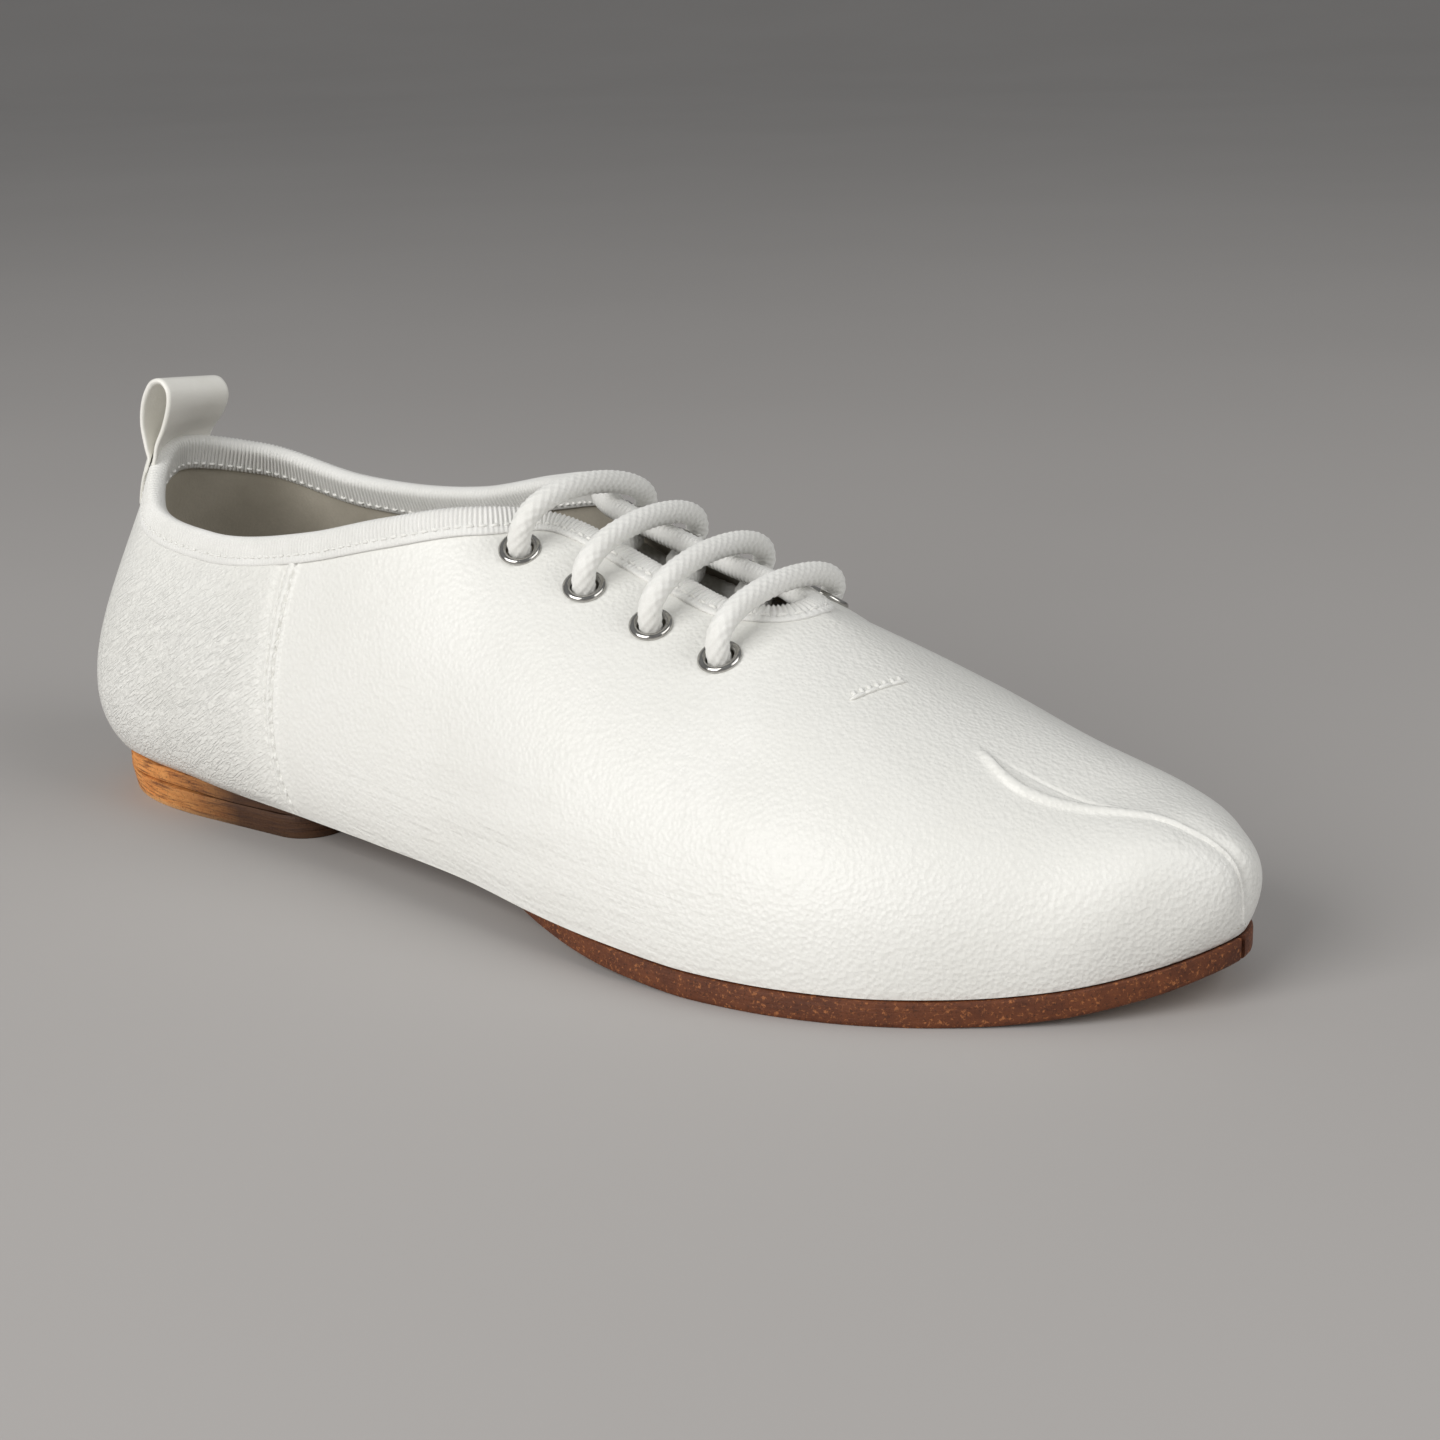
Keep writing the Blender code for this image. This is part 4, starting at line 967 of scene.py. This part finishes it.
def cut_holes(item, seats, material):
    """Cut a round hole through the leather for each eyelet."""
    profile = [(EYELET_HOLE, -6.0), (EYELET_HOLE, 4.0)]
    around = 32
    points = []
    faces = []
    for place, normal in seats:
        start = len(points)
        points.extend(turned(place, normal, profile, around))
        for i in range(around):
            n = (i + 1) % around
            faces.append((start + 2 * i, start + 2 * n, start + 2 * n + 1, start + 2 * i + 1))
        faces.append(tuple(start + 2 * i for i in range(around)))
        faces.append(tuple(start + 2 * i + 1 for i in range(around)))
    cutter = add_piece("hole_cutter", points, faces, [material])
    cut = item.modifiers.new("eyelet holes", "BOOLEAN")
    cut.operation = "DIFFERENCE"
    cut.solver = "EXACT"
    cut.object = cutter
    graph = bpy.context.evaluated_depsgraph_get()
    mesh = bpy.data.meshes.new_from_object(item.evaluated_get(graph))
    item.modifiers.clear()
    item.data = mesh
    bpy.data.objects.remove(cutter)


class Edge:
    """Collar and throat edge: frames on the leather at chosen distances below it, round the closed loop."""

    DOWNS = np.array([0.0, 0.8, 1.8, 3.0, 4.0, 5.0, 6.0])

    def __init__(self, surface, tree):
        columns = surface.opening()
        self.edge = surface.plain[columns, -1]
        self.normals = surface.normals[columns, -1]
        tangent = np.roll(self.edge, -1, 0) - np.roll(self.edge, 1, 0)
        inward = np.cross(self.normals, tangent)
        below = surface.plain[columns, -8] - self.edge
        if np.sum(inward * below) < 0:
            inward = -inward
        self.inward = self.soften(unit(inward))
        self.places = []
        self.leans = []
        for down in self.DOWNS:
            found = [outside_near(tree, e + m * down, n)
                     for e, n, m in zip(self.edge, self.normals, self.inward)]
            self.places.append(self.soften(np.array([f[0] for f in found])))
            self.leans.append(self.soften(self.soften(np.array([f[1] for f in found]))))
        self.places[0] = self.edge
        self.leans[0] = self.normals
        gaps = np.linalg.norm(np.roll(self.edge, -1, 0) - self.edge, axis=1)
        self.run = np.concatenate([[0], np.cumsum(gaps)])
        self.length = self.run[-1]

    def soften(self, values):
        """Running mean over three neighbours round the loop."""
        return (np.roll(values, 1, 0) + 2 * values + np.roll(values, -1, 0)) / 4

    def at(self, s, values):
        """Values interpolated at distances s along the loop."""
        closed = np.concatenate([values, values[:1]])
        return points_at(s % self.length, self.run, closed)

    def line(self, s, down, out):
        """Points at distances s along the loop, down from the edge and out from the leather."""
        if down <= 0:
            return (self.at(s, self.edge) + self.at(s, self.inward) * down
                    + self.at(s, self.normals) * np.asarray(out)[..., None])
        k = min(int(np.searchsorted(self.DOWNS, down, side="right")) - 1, len(self.DOWNS) - 2)
        t = (down - self.DOWNS[k]) / (self.DOWNS[k + 1] - self.DOWNS[k])
        place = (1 - t) * self.places[k] + t * self.places[k + 1]
        lean = unit((1 - t) * self.leans[k] + t * self.leans[k + 1])
        return self.at(s, place) + self.at(s, lean) * np.asarray(out)[..., None]


# Section of the binding tape: down from the edge, out from the leather's outside, share of the ribs
TAPE_WALL = -WALL
TAPE_SECTION = [
    (4.85, 0.00, 0.0),
    (4.98, 0.28, 0.1),
    (4.75, 0.56, 0.2),
    (4.20, 0.68, 0.3),
    (3.70, 0.64, 0.4),
    (3.30, 0.44, 0.6),
    (2.90, 0.66, 1.0),
    (2.20, 0.78, 1.0),
    (1.30, 0.82, 1.0),
    (0.30, 0.82, 1.0),
    (-0.35, 0.66, 1.0),
    (-0.85, 0.20, 1.0),
    (-1.10, -0.45, 1.0),
    (-1.15, -1.00, 1.0),
    (-1.10, -1.55, 1.0),
    (-0.85, -2.20, 1.0),
    (-0.35, -2.66, 1.0),
    (0.30, -2.82, 1.0),
    (1.50, -2.82, 1.0),
    (3.00, -2.80, 1.0),
    (4.40, -2.78, 1.0),
    (5.30, -2.72, 1.0),
    (5.80, -2.45, 0.3),
    (5.80, -2.00, 0.0),
    (2.50, -2.00, 0.0),
    (-0.05, -1.95, 0.0),
    (-0.05, -0.05, 0.0),
    (2.50, 0.00, 0.0),
]
RIB_PITCH = 0.85
RIB_HEIGHT = 0.2
RIB_SAMPLES = 6


def add_binding(edge, material):
    """Ribbed tape folded over the collar and throat edge."""
    ribs = int(round(edge.length / RIB_PITCH))
    rings = ribs * RIB_SAMPLES
    s = np.linspace(0, edge.length, rings, endpoint=False)
    wave = np.cos(2 * np.pi * np.arange(rings) / RIB_SAMPLES)
    lines = []
    for down, out, share in TAPE_SECTION:
        side = 1.0 if out > 0.5 * TAPE_WALL else -1.0
        lines.append(edge.line(s, down, out + side * share * RIB_HEIGHT * wave))
    points = np.stack(lines, 1)
    faces = tube_faces(rings, len(TAPE_SECTION), True)
    item = add_piece("binding_tape", points.reshape(-1, 3), faces, [material])
    return dress(item, "ribbed_tape", "binding")


def add_eyelets(seats, material):
    """Eight rolled rings with barrels."""
    around = 48
    faces = tube_faces(around, len(EYELET_PROFILE), True)
    for (side, number), (place, normal) in seats.items():
        side_name = "lateral" if side < 0 else "medial"
        points = turned(place, normal, EYELET_PROFILE, around)
        item = add_piece(f"eyelet_ring_{side_name}_{number + 1}", points, faces, [material], None, 1.0)
        dress(item, "nickel", f"eyelet_{side_name}_{number + 1}")


def smooth_path(rows, per_span):
    """Smooth open curve through rows."""
    rows = np.array(rows, float)
    padded = np.concatenate([[2 * rows[0] - rows[1]], rows, [2 * rows[-1] - rows[-2]]])
    path = []
    for k in range(len(rows) - 1):
        a, b, c, d = padded[k:k + 4]
        for t in np.linspace(0, 1, per_span, endpoint=False):
            path.append(0.5 * (2 * b + (c - a) * t + (2 * a - 5 * b + 4 * c - d) * t**2
                               + (3 * b - a - 3 * c + d) * t**3))
    path.append(rows[-1])
    return np.array(path)


def even_path(path, step):
    """The same path with points at even distances."""
    run = run_along(path)
    count = int(np.ceil(run[-1] / step)) + 1
    s = np.linspace(0, run[-1], count)
    return points_at(s, run, path), run[-1]


def lace_bar_path(lateral, medial, row):
    """Arch of the lace from the lateral eyelet over the throat to the medial one."""
    v = dict(zip(BAR_COLUMNS, row))
    start = lateral[0] + lateral[1] * BAR_START
    end = medial[0] + medial[1] * BAR_START
    across = unit(end - start)
    first = start + lateral[1] * v["rise_lateral"] + across * v["in_lateral"]
    second = end + medial[1] * v["rise_medial"] - across * v["in_medial"]
    return bezier(np.linspace(0, 1, 24)[:, None], start, first, second, end)


IN_EYELET = 1.8           # cord's middle below the leather's outside, in the barrel
UNDER_EYELET = 4.4        # cord's middle below the leather's outside, inside the shoe
UNDER_TAPE = 5.4
SLANT_MEDIAL = 12.0       # where a slant passes under the tape on either side
SLANT_LATERAL = -8.5
TAIL_SIDE = 23.0          # hidden end along the medial side


def lace_route(tree, seats):
    """Points of the whole lace: bars over the throat, slants under it, both ends hidden inside."""
    route = []
    place, normal = seats[-1, 0]
    tail, _ = outside_below(tree, place[0] - 1.0, place[1] - 9.0)
    route.append(tail - normal * UNDER_EYELET)
    route.append(place - normal * UNDER_EYELET + np.array([0.0, -2.0, -0.4]))
    route.append(place - normal * IN_EYELET)
    for k, row in enumerate(LACE_BARS):
        bar = lace_bar_path(seats[-1, k], seats[1, k], row)
        route.extend(bar[::2])
        route.append(bar[-1])
        place, normal = seats[1, k]
        route.append(place - normal * IN_EYELET)
        if k == EYELET_COUNT - 1:
            break
        route.append(place - normal * UNDER_EYELET + np.array([0.4, -1.6, -0.2]))
        ahead, lean = seats[-1, k + 1]
        step = ahead[0] - place[0]
        near, _ = outside_below(tree, place[0] + 0.25 * step, SLANT_MEDIAL)
        far, _ = outside_below(tree, place[0] + 0.75 * step, SLANT_LATERAL)
        drop = np.array([0.0, 0.0, -UNDER_TAPE])
        route.append(near + drop)
        route.append(0.5 * (near + far) + drop + np.array([0.0, 0.0, 0.6]))
        route.append(far + drop)
        route.append(ahead - lean * UNDER_EYELET + np.array([-0.4, 1.6, -0.2]))
        route.append(ahead - lean * IN_EYELET)
    route.append(place - normal * UNDER_EYELET + np.array([-1.0, 2.0, -0.4]))
    for x in np.linspace(seats[1, EYELET_COUNT - 1][0][0] - 7.0, seats[1, 0][0][0], 5):
        side, lean = outside_below(tree, x, TAIL_SIDE)
        route.append(side - lean * np.sign(lean[2]) * (UNDER_EYELET + 0.4))
    return np.array(route)


CORD_STEP = 0.2
CORD_AROUND = 40
BRAID_STRANDS = 8
BRAID_PITCH = 1.9
BRAID_HEIGHT = 0.13
CORD_END = 1.2            # length of the cord's rounded ends


def add_lace(tree, seats, material):
    """Braided round cord along the lace's route."""
    path, length = even_path(smooth_path(lace_route(tree, seats), 12), CORD_STEP)
    tangent = unit(np.gradient(path, axis=0))
    angle = np.linspace(0, 2 * np.pi, CORD_AROUND, endpoint=False)
    side = np.cross(tangent[0], (1.0, 0.0, 0.0))
    rings = []
    for k, (place, ahead) in enumerate(zip(path, tangent)):
        side = unit(side - ahead * (side @ ahead))
        other = np.cross(ahead, side)
        braid = np.cos(BRAID_STRANDS * angle) * np.cos(2 * np.pi * k * CORD_STEP / BRAID_PITCH)
        end = min(k, len(path) - 1 - k) * CORD_STEP
        shrink = np.sqrt(np.clip(1 - (1 - min(end / CORD_END, 1.0))**2, 0.02, 1))
        radius = ((LACE_RADIUS - 0.04 + BRAID_HEIGHT * braid) * shrink)[:, None]
        rings.append(place + radius * (side * np.cos(angle)[:, None] + other * np.sin(angle)[:, None]))
    faces = capped_faces(len(rings), CORD_AROUND)
    item = add_piece("lace", np.concatenate(rings), faces, [material])
    print("lace length mm", round(length, 1))
    return dress(item, "lace_cord", *[f"lace_bar_{k + 1}" for k in range(EYELET_COUNT)])


def add_pull_loop(surface, tree, edge, material):
    """Leather strip sewn on the heel's back, turned over into an open loop, with rounded edges."""
    heel = surface.half - surface.ridge
    near_heel = slice(heel - 14, heel + 15)
    edge_y = edge.edge[near_heel, 1]
    tab_out = TAPE_THICK + 0.1 + 0.5 * LOOP_THICK
    free = smooth_path(LOOP_PATH, 8)
    round_edge = 0.5 * LOOP_THICK
    lines = []
    across = np.concatenate([[0.0, 0.02, 0.045], np.linspace(0.08, 0.92, 15), [0.955, 0.98, 1.0]])
    for share in across:
        y = (share - 0.5) * LOOP_WIDTH
        e, n, m = [points_at(y, edge_y, line[near_heel]) for line in (edge.edge, edge.normals, edge.inward)]
        line = []
        for down in LOOP_TAB:
            place, normal = outside_near(tree, e + m * down, n)
            line.append(place + normal * tab_out)
        line = list(smooth_path(line, 6))
        middle = edge.edge[heel]
        for ahead, rise, wrap in free:
            base = middle * (1 - wrap) + e * wrap
            droop = LOOP_DROOP * share * (1 - wrap) * smooth_step(rise, 2.0, 14.5)
            line.append(np.array([base[0] + ahead, y, base[2] + rise - droop]))
        line = np.array(line)
        tangent = np.gradient(line, axis=0)
        tangent[:, 1] = 0
        square = np.cross(unit(tangent), (0.0, 1.0, 0.0))
        from_edge = min(share, 1 - share) * LOOP_WIDTH
        half = 0.5 * LOOP_THICK
        if from_edge < round_edge:
            half *= np.sqrt(max(0.02, 1 - (1 - from_edge / round_edge)**2))
        lines.append((line + half * square, line - half * square))
    front = np.array([pair[0] for pair in lines])
    back = np.array([pair[1] for pair in lines])[::-1]
    ring = np.concatenate([front, back]).transpose(1, 0, 2)
    faces = capped_faces(*ring.shape[:2])
    item = add_piece("pull_loop_strip", ring.reshape(-1, 3), faces, [material], None, 1.2)
    return dress(item, "loop_leather", "pull_loop")


# Edge of the outsole: inset from its outline, share of its thickness
SOLE_EDGE = [(2.0, 0.0), (0.35, 0.0), (0.08, 0.06), (0.0, 0.2), (0.0, 0.5),
             (0.0, 0.82), (0.08, 0.95), (0.35, 1.0), (2.0, 1.0)]


def add_outsole(surface, edge_leather, tread):
    """Outsole with toe spring, narrow waist, rounded edge and a notch at the toe."""
    loop = surface.base + surface.facing * surface.sole_edge[:, None]
    tip = loop[0]
    side = np.array([0.0, NOTCH_HALF, 0.0])
    outline = np.concatenate([[tip - side], loop[1:], [tip + side], [tip - np.array([NOTCH_DEPTH, 0, 0])]])
    facing = np.concatenate([surface.facing[:1], surface.facing[1:], surface.facing[:1], surface.facing[:1]])
    rings = []
    for inset, share in SOLE_EDGE:
        ring = outline - facing * inset
        low = sole_height(ring[:, 0], 1)
        high = sole_height(ring[:, 0], 2)
        ring[:, 2] = low + share * (high - low)
        rings.append(ring)
    rings = np.array(rings)
    around = len(outline)
    points = [rings.reshape(-1, 3)]
    faces = [tuple(f) for f in tube_faces(len(SOLE_EDGE), around, False)]
    slots = [0] * len(faces)
    half = surface.half
    start = len(SOLE_EDGE) * around
    for row, column, slot in ((0, 1, 1), (len(SOLE_EDGE) - 1, 2, 0)):
        ring = rings[row]
        offset = row * around
        middle = 0.5 * (ring[1:half] + ring[surface.count - 1:half:-1][:half - 1])
        limit = ring[-1, 0] - 0.4 * np.arange(1, half)
        middle[:, 0] = np.minimum(middle[:, 0], limit)
        middle[:, 2] = sole_height(middle[:, 0], column)
        points.append(middle)
        number = [offset + around - 1] + list(range(start, start + len(middle)))
        start += len(middle)
        for i in range(half - 1):
            left = (offset + i, offset + i + 1)
            right_now = offset + surface.count - i
            right_next = offset + surface.count - i - 1
            faces.append((left[0], left[1], number[i + 1], number[i]))
            faces.append((number[i], number[i + 1], right_next, right_now))
            slots.extend([slot, slot])
        faces.append((offset + half - 1, offset + half, number[-1]))
        faces.append((offset + half, offset + half + 1, number[-1]))
        slots.extend([slot, slot])
    item = add_piece("sole", np.concatenate(points), faces, [edge_leather, tread], slots, 0.7)
    return dress(item, "sole_leather", "outsole")


# Side of the heel lift: inset from its outline, height; the small steps are its layers
LIFT_SIDE = [(0.5, 0.0), (0.12, 0.06), (0.0, 0.3), (0.0, 1.55), (0.14, 1.66), (0.0, 1.77), (0.0, 3.2),
             (0.14, 3.31), (0.0, 3.42), (0.0, 4.85), (0.12, 5.02), (0.5, LIFT_HEIGHT)]


def add_heel_lift(material):
    """Stacked heel with a rounded back and a straight breast with round corners."""
    outline = []
    length = LIFT_MIDDLE_X - LIFT_BACK_X
    for angle in np.linspace(-90, 90, 73):
        back = np.cos(np.radians(angle))
        side = np.sin(np.radians(angle))
        outline.append((LIFT_MIDDLE_X - length * back**(2 / LIFT_POWER),
                        LIFT_HALF * np.sign(side) * abs(side)**(2 / LIFT_POWER), 0.0))
    corner_x = LIFT_BREAST_X - LIFT_CORNER
    corner_y = LIFT_HALF - 0.3 - LIFT_CORNER
    for first, last, middle in ((90, 0, corner_y), (0, -90, -corner_y)):
        for angle in np.linspace(first, last, 16):
            outline.append((corner_x + LIFT_CORNER * np.cos(np.radians(angle)),
                            middle + LIFT_CORNER * np.sin(np.radians(angle)), 0.0))
    outline = np.array(outline)
    ahead = np.roll(outline, -1, 0) - np.roll(outline, 1, 0)
    out = unit(np.cross(ahead, (0.0, 0.0, -1.0)))
    if np.sum(out * (outline - outline.mean(0))) < 0:
        out = -out
    back = np.minimum(outline[:, 0] - LIFT_MIDDLE_X, 0.0)
    rings = []
    for inset, height in LIFT_SIDE:
        ring = outline - out * inset
        shrink = (1 - LIFT_FOOT) * (1 - height / LIFT_HEIGHT)
        ring[:, 0] -= shrink * back
        ring[:, 1] *= 1 - shrink
        ring[:, 2] = height
        rings.append(ring)
    faces = capped_faces(len(rings), len(outline))
    item = add_piece("heel_stack", np.concatenate(rings), faces, [material], None, 0.7)
    return dress(item, "heel_leather", "heel_lift")


# Edge of the insole: inset from its outline, share of its thickness
INSOLE_EDGE = [(0.6, 0.0), (0.0, 0.25), (0.0, 0.7), (0.15, 0.9), (0.5, 1.0), (2.0, 1.0)]


def add_insole(surface, material):
    """Inner board just inside the wall's foot, with a softened edge."""
    inner = surface.plain[:, 0] - surface.normals[:, 0] * WALL
    loop = inner - surface.facing * (GAP + 0.15)
    rings = []
    for inset, share in INSOLE_EDGE:
        ring = loop - surface.facing * inset
        ring[:, 2] = sole_height(ring[:, 0], 2) + GAP + share * INSOLE_THICK
        rings.append(ring)
    rings = np.array(rings)
    around = surface.count
    points = [rings.reshape(-1, 3)]
    faces = [tuple(f) for f in tube_faces(len(INSOLE_EDGE), around, False)]
    half = surface.half
    for row in (0, len(INSOLE_EDGE) - 1):
        offset = row * around
        for i in range(half):
            a = offset + i
            b = offset + i + 1
            c = offset + (around - i - 1) % around
            d = offset + (around - i) % around
            faces.append((a, b, c, d) if i else (a, b, c))
    item = add_piece("insole_cover", np.concatenate(points), faces, [material], None, 0.7)
    return dress(item, "insole_leather", "insole")


def stitch_mesh(ends, lifts, radius):
    """Short rounded threads between pairs of ends, bowed a little outwards."""
    around = 8
    rows = 7
    points = []
    faces = []
    angle = np.linspace(0, 2 * np.pi, around, endpoint=False)
    for (a, b), lift in zip(ends, lifts):
        start = len(points)
        other = np.cross(unit(b - a), lift)
        for t in np.linspace(0, 1, rows):
            bow = 1 - (2 * t - 1)**2
            thick = radius * (0.35 + 0.65 * np.sqrt(bow))
            place = a + (b - a) * t + lift * (0.6 * radius * bow - 0.35 * radius)
            for w in angle:
                points.append(place + thick * (lift * np.cos(w) + other * np.sin(w)))
        for face in capped_faces(rows, around):
            faces.append(tuple(start + k for k in face))
    return points, faces


def add_threads(name, ends, lifts, radius, material, slot):
    """One piece holding many stitches."""
    points, faces = stitch_mesh(ends, lifts, radius)
    item = add_piece(name, points, faces, [material])
    return dress(item, slot)


def add_seam_stitches(surface, material):
    """Both stitch rows of the heel panel's two seams."""
    ends = []
    lifts = []
    for side in (-1, 1):
        seam = row_place(side, SEAM_ROW)
        column = int(np.argmin(np.abs(surface.u - seam)))
        tall = surface.from_base[column, -1]
        for sign in (-1, 1):
            for above in np.arange(STITCH_FIRST, tall - TAPE_OUTER - STITCH_LENGTH, STITCH_PITCH):
                pair = []
                for end in (above, above + STITCH_LENGTH):
                    place = SEAM_MIDDLE + sign * surface.seam_half_gap(end / tall)
                    point, normal = surface.outside_at(seam + side * place, end)
                    pair.append(point + normal * STITCH_RISE)
                ends.append(pair)
                lifts.append(normal)
    return add_threads("seam_stitches", ends, lifts, THREAD_RADIUS, material, "white_leather")


# Stitch rows of the binding: down from the edge, out from the leather
TAPE_STITCH_OUTER = (3.3, 0.60)
TAPE_STITCH_INNER = (4.4, -2.80)
TAPE_STITCH_PITCH = 2.1
TAPE_STITCH_LENGTH = 1.35
TAPE_THREAD_RADIUS = 0.3


def add_binding_stitches(edge, material):
    """Stitch rows through the tape, outside and inside."""
    ends = []
    lifts = []
    starts = np.arange(0, edge.length - TAPE_STITCH_PITCH, TAPE_STITCH_PITCH)
    for (down, out), sign in ((TAPE_STITCH_OUTER, 1), (TAPE_STITCH_INNER, -1)):
        first = edge.line(starts, down, out)
        second = edge.line(starts + TAPE_STITCH_LENGTH, down, out)
        ends.extend(zip(first, second))
        lean = edge.line(starts, down, out + 1.0) - first
        lifts.extend(sign * unit(lean))
    return add_threads("binding_stitches", ends, lifts, TAPE_THREAD_RADIUS, material, "ribbed_tape")


# Bar tack below the throat: its two ends seen from above, and its whip stitches
TACK_ENDS = ((190.6, -14.4), (194.0, -3.4))
TACK_WHIPS = 7
TACK_REACH = 1.9
TACK_RISE = 0.2           # the straight thread stands up by this


def add_tack(tree, material):
    """Straight thread below the throat with short slanting stitches on its heel side."""
    first, normal = outside_below(tree, *TACK_ENDS[0])
    last, _ = outside_below(tree, *TACK_ENDS[1])
    normal = normal * np.sign(normal[2])
    ahead = unit(last - first)
    back = np.cross(ahead, normal)
    back = back * -np.sign(back[0])
    places = np.linspace(*TACK_ENDS, 5)
    line = [outside_below(tree, *place)[0] + normal * TACK_RISE for place in places]
    ends = [(a - 0.4 * ahead, b + 0.4 * ahead) for a, b in zip(line[:-1], line[1:])]
    for t in (np.arange(TACK_WHIPS) + 0.5) / TACK_WHIPS:
        foot = first + (last - first) * t
        tip = foot + back * TACK_REACH + ahead * 0.7
        place, _ = outside_near(tree, tip, normal)
        base, _ = outside_near(tree, foot, normal)
        ends.append((base, place))
    lifts = [normal] * len(ends)
    return add_threads("bar_tack", ends, lifts, THREAD_RADIUS, material, "white_leather")


def add_camera():
    """Camera at the photograph's angle."""
    turn, down, roll = np.radians([VIEW_TURN, VIEW_DOWN, VIEW_ROLL])
    ahead = np.array([-np.sin(turn) * np.cos(down), np.cos(turn) * np.cos(down), -np.sin(down)])
    right = np.array([np.cos(turn), np.sin(turn), 0.0])
    up = np.cross(right, ahead)
    rolled_right = right * np.cos(roll) + up * np.sin(roll)
    rolled_up = -right * np.sin(roll) + up * np.cos(roll)
    data = bpy.data.cameras.new("camera")
    data.sensor_fit = "HORIZONTAL"
    data.sensor_width = SENSOR
    data.lens = FOCAL_PIXELS * SENSOR / IMAGE_PIXELS
    data.clip_start = 0.02
    data.clip_end = 60.0
    camera = bpy.data.objects.new("camera", data)
    bpy.context.scene.collection.objects.link(camera)
    place = (np.array(VIEW_PLACE) + SHIFT) * MM
    axes = np.column_stack([rolled_right, rolled_up, -ahead])
    camera.matrix_world = Matrix.Translation(place) @ Matrix(axes.tolist()).to_4x4()
    bpy.context.scene.camera = camera
    return -ahead, right


# Lights: metres towards the camera, to its right and up; size in metres; power; colour
LIGHTS = {
    "key": ((0.94, -0.88, 0.70), 1.0, 17.4, (1.0, 0.99, 0.965)),
    "fill": ((0.55, 0.95, 0.80), 0.9, 6.0, (1.0, 0.995, 0.98)),
}
LIGHT_AIM = (0.0, 0.0, 0.03)
SURROUNDINGS = 0.26


def add_light(name, place, size, power, colour):
    """Square area light aimed at the shoe."""
    data = bpy.data.lights.new(name, "AREA")
    data.size = size
    data.energy = power
    data.color = colour
    item = bpy.data.objects.new(name, data)
    item.location = place
    item.rotation_euler = (Vector(LIGHT_AIM) - Vector(place)).to_track_quat("-Z", "Y").to_euler()
    bpy.context.scene.collection.objects.link(item)


# Floor in millimetres: flat round the shoe, then rising softly far away
FLOOR_FLAT = 2500.0
FLOOR_RADIUS = 7000.0
FLOOR_RISE = 700.0


def add_floor():
    """Pale floor, flat round the shoe and rising softly in the distance."""
    around = 96
    angle = np.linspace(0, 2 * np.pi, around, endpoint=False)
    rings = []
    for radius in np.linspace(FLOOR_FLAT, FLOOR_RADIUS, 24):
        height = FLOOR_RISE * smooth_step(radius, FLOOR_FLAT, FLOOR_RADIUS)
        level = np.full(around, height)
        rings.append(np.column_stack([radius * np.cos(angle), radius * np.sin(angle), level]))
    faces = [tuple(f) for f in tube_faces(len(rings), around, False)]
    faces.append(tuple(range(around)))
    floor = add_piece("floor", np.concatenate(rings), faces, [floor_finish()])


def add_studio(to_camera, right):
    """Soft key from the camera's left, weaker fill from its right and grey surroundings."""
    world = bpy.data.worlds.new("studio")
    world.use_nodes = True
    background = world.node_tree.nodes["Background"]
    background.inputs["Color"].default_value = (0.99, 1.0, 1.0, 1.0)
    background.inputs["Strength"].default_value = SURROUNDINGS
    bpy.context.scene.world = world
    bpy.context.scene.view_settings.view_transform = "Standard"
    level = unit(np.array([to_camera[0], to_camera[1], 0.0]))
    for name, ((towards, aside, rise), size, power, colour) in LIGHTS.items():
        place = level * towards + right * aside + np.array([0.0, 0.0, rise])
        add_light(name, place, size, power, colour)


to_camera, camera_right = add_camera()
add_floor()
add_studio(to_camera, camera_right)

surface = Surface()
tree = surface_tree(surface)
seats = {(side, k): eyelet_seat(tree, k, side) for side in (-1, 1) for k in range(EYELET_COUNT)}
edge = Edge(surface, tree)

add_upper(surface, list(seats.values()), white_leather(), lining())
add_binding(edge, ribbed_tape())
add_eyelets(seats, nickel())
add_lace(tree, seats, cord())
add_pull_loop(surface, tree, edge, loop_leather())
add_outsole(surface, burnished("sole_edge"), sole_tread())
add_heel_lift(burnished("heel_stack"))
add_insole(surface, lining())
add_seam_stitches(surface, thread_finish())
add_binding_stitches(edge, thread_finish())
add_tack(tree, thread_finish())
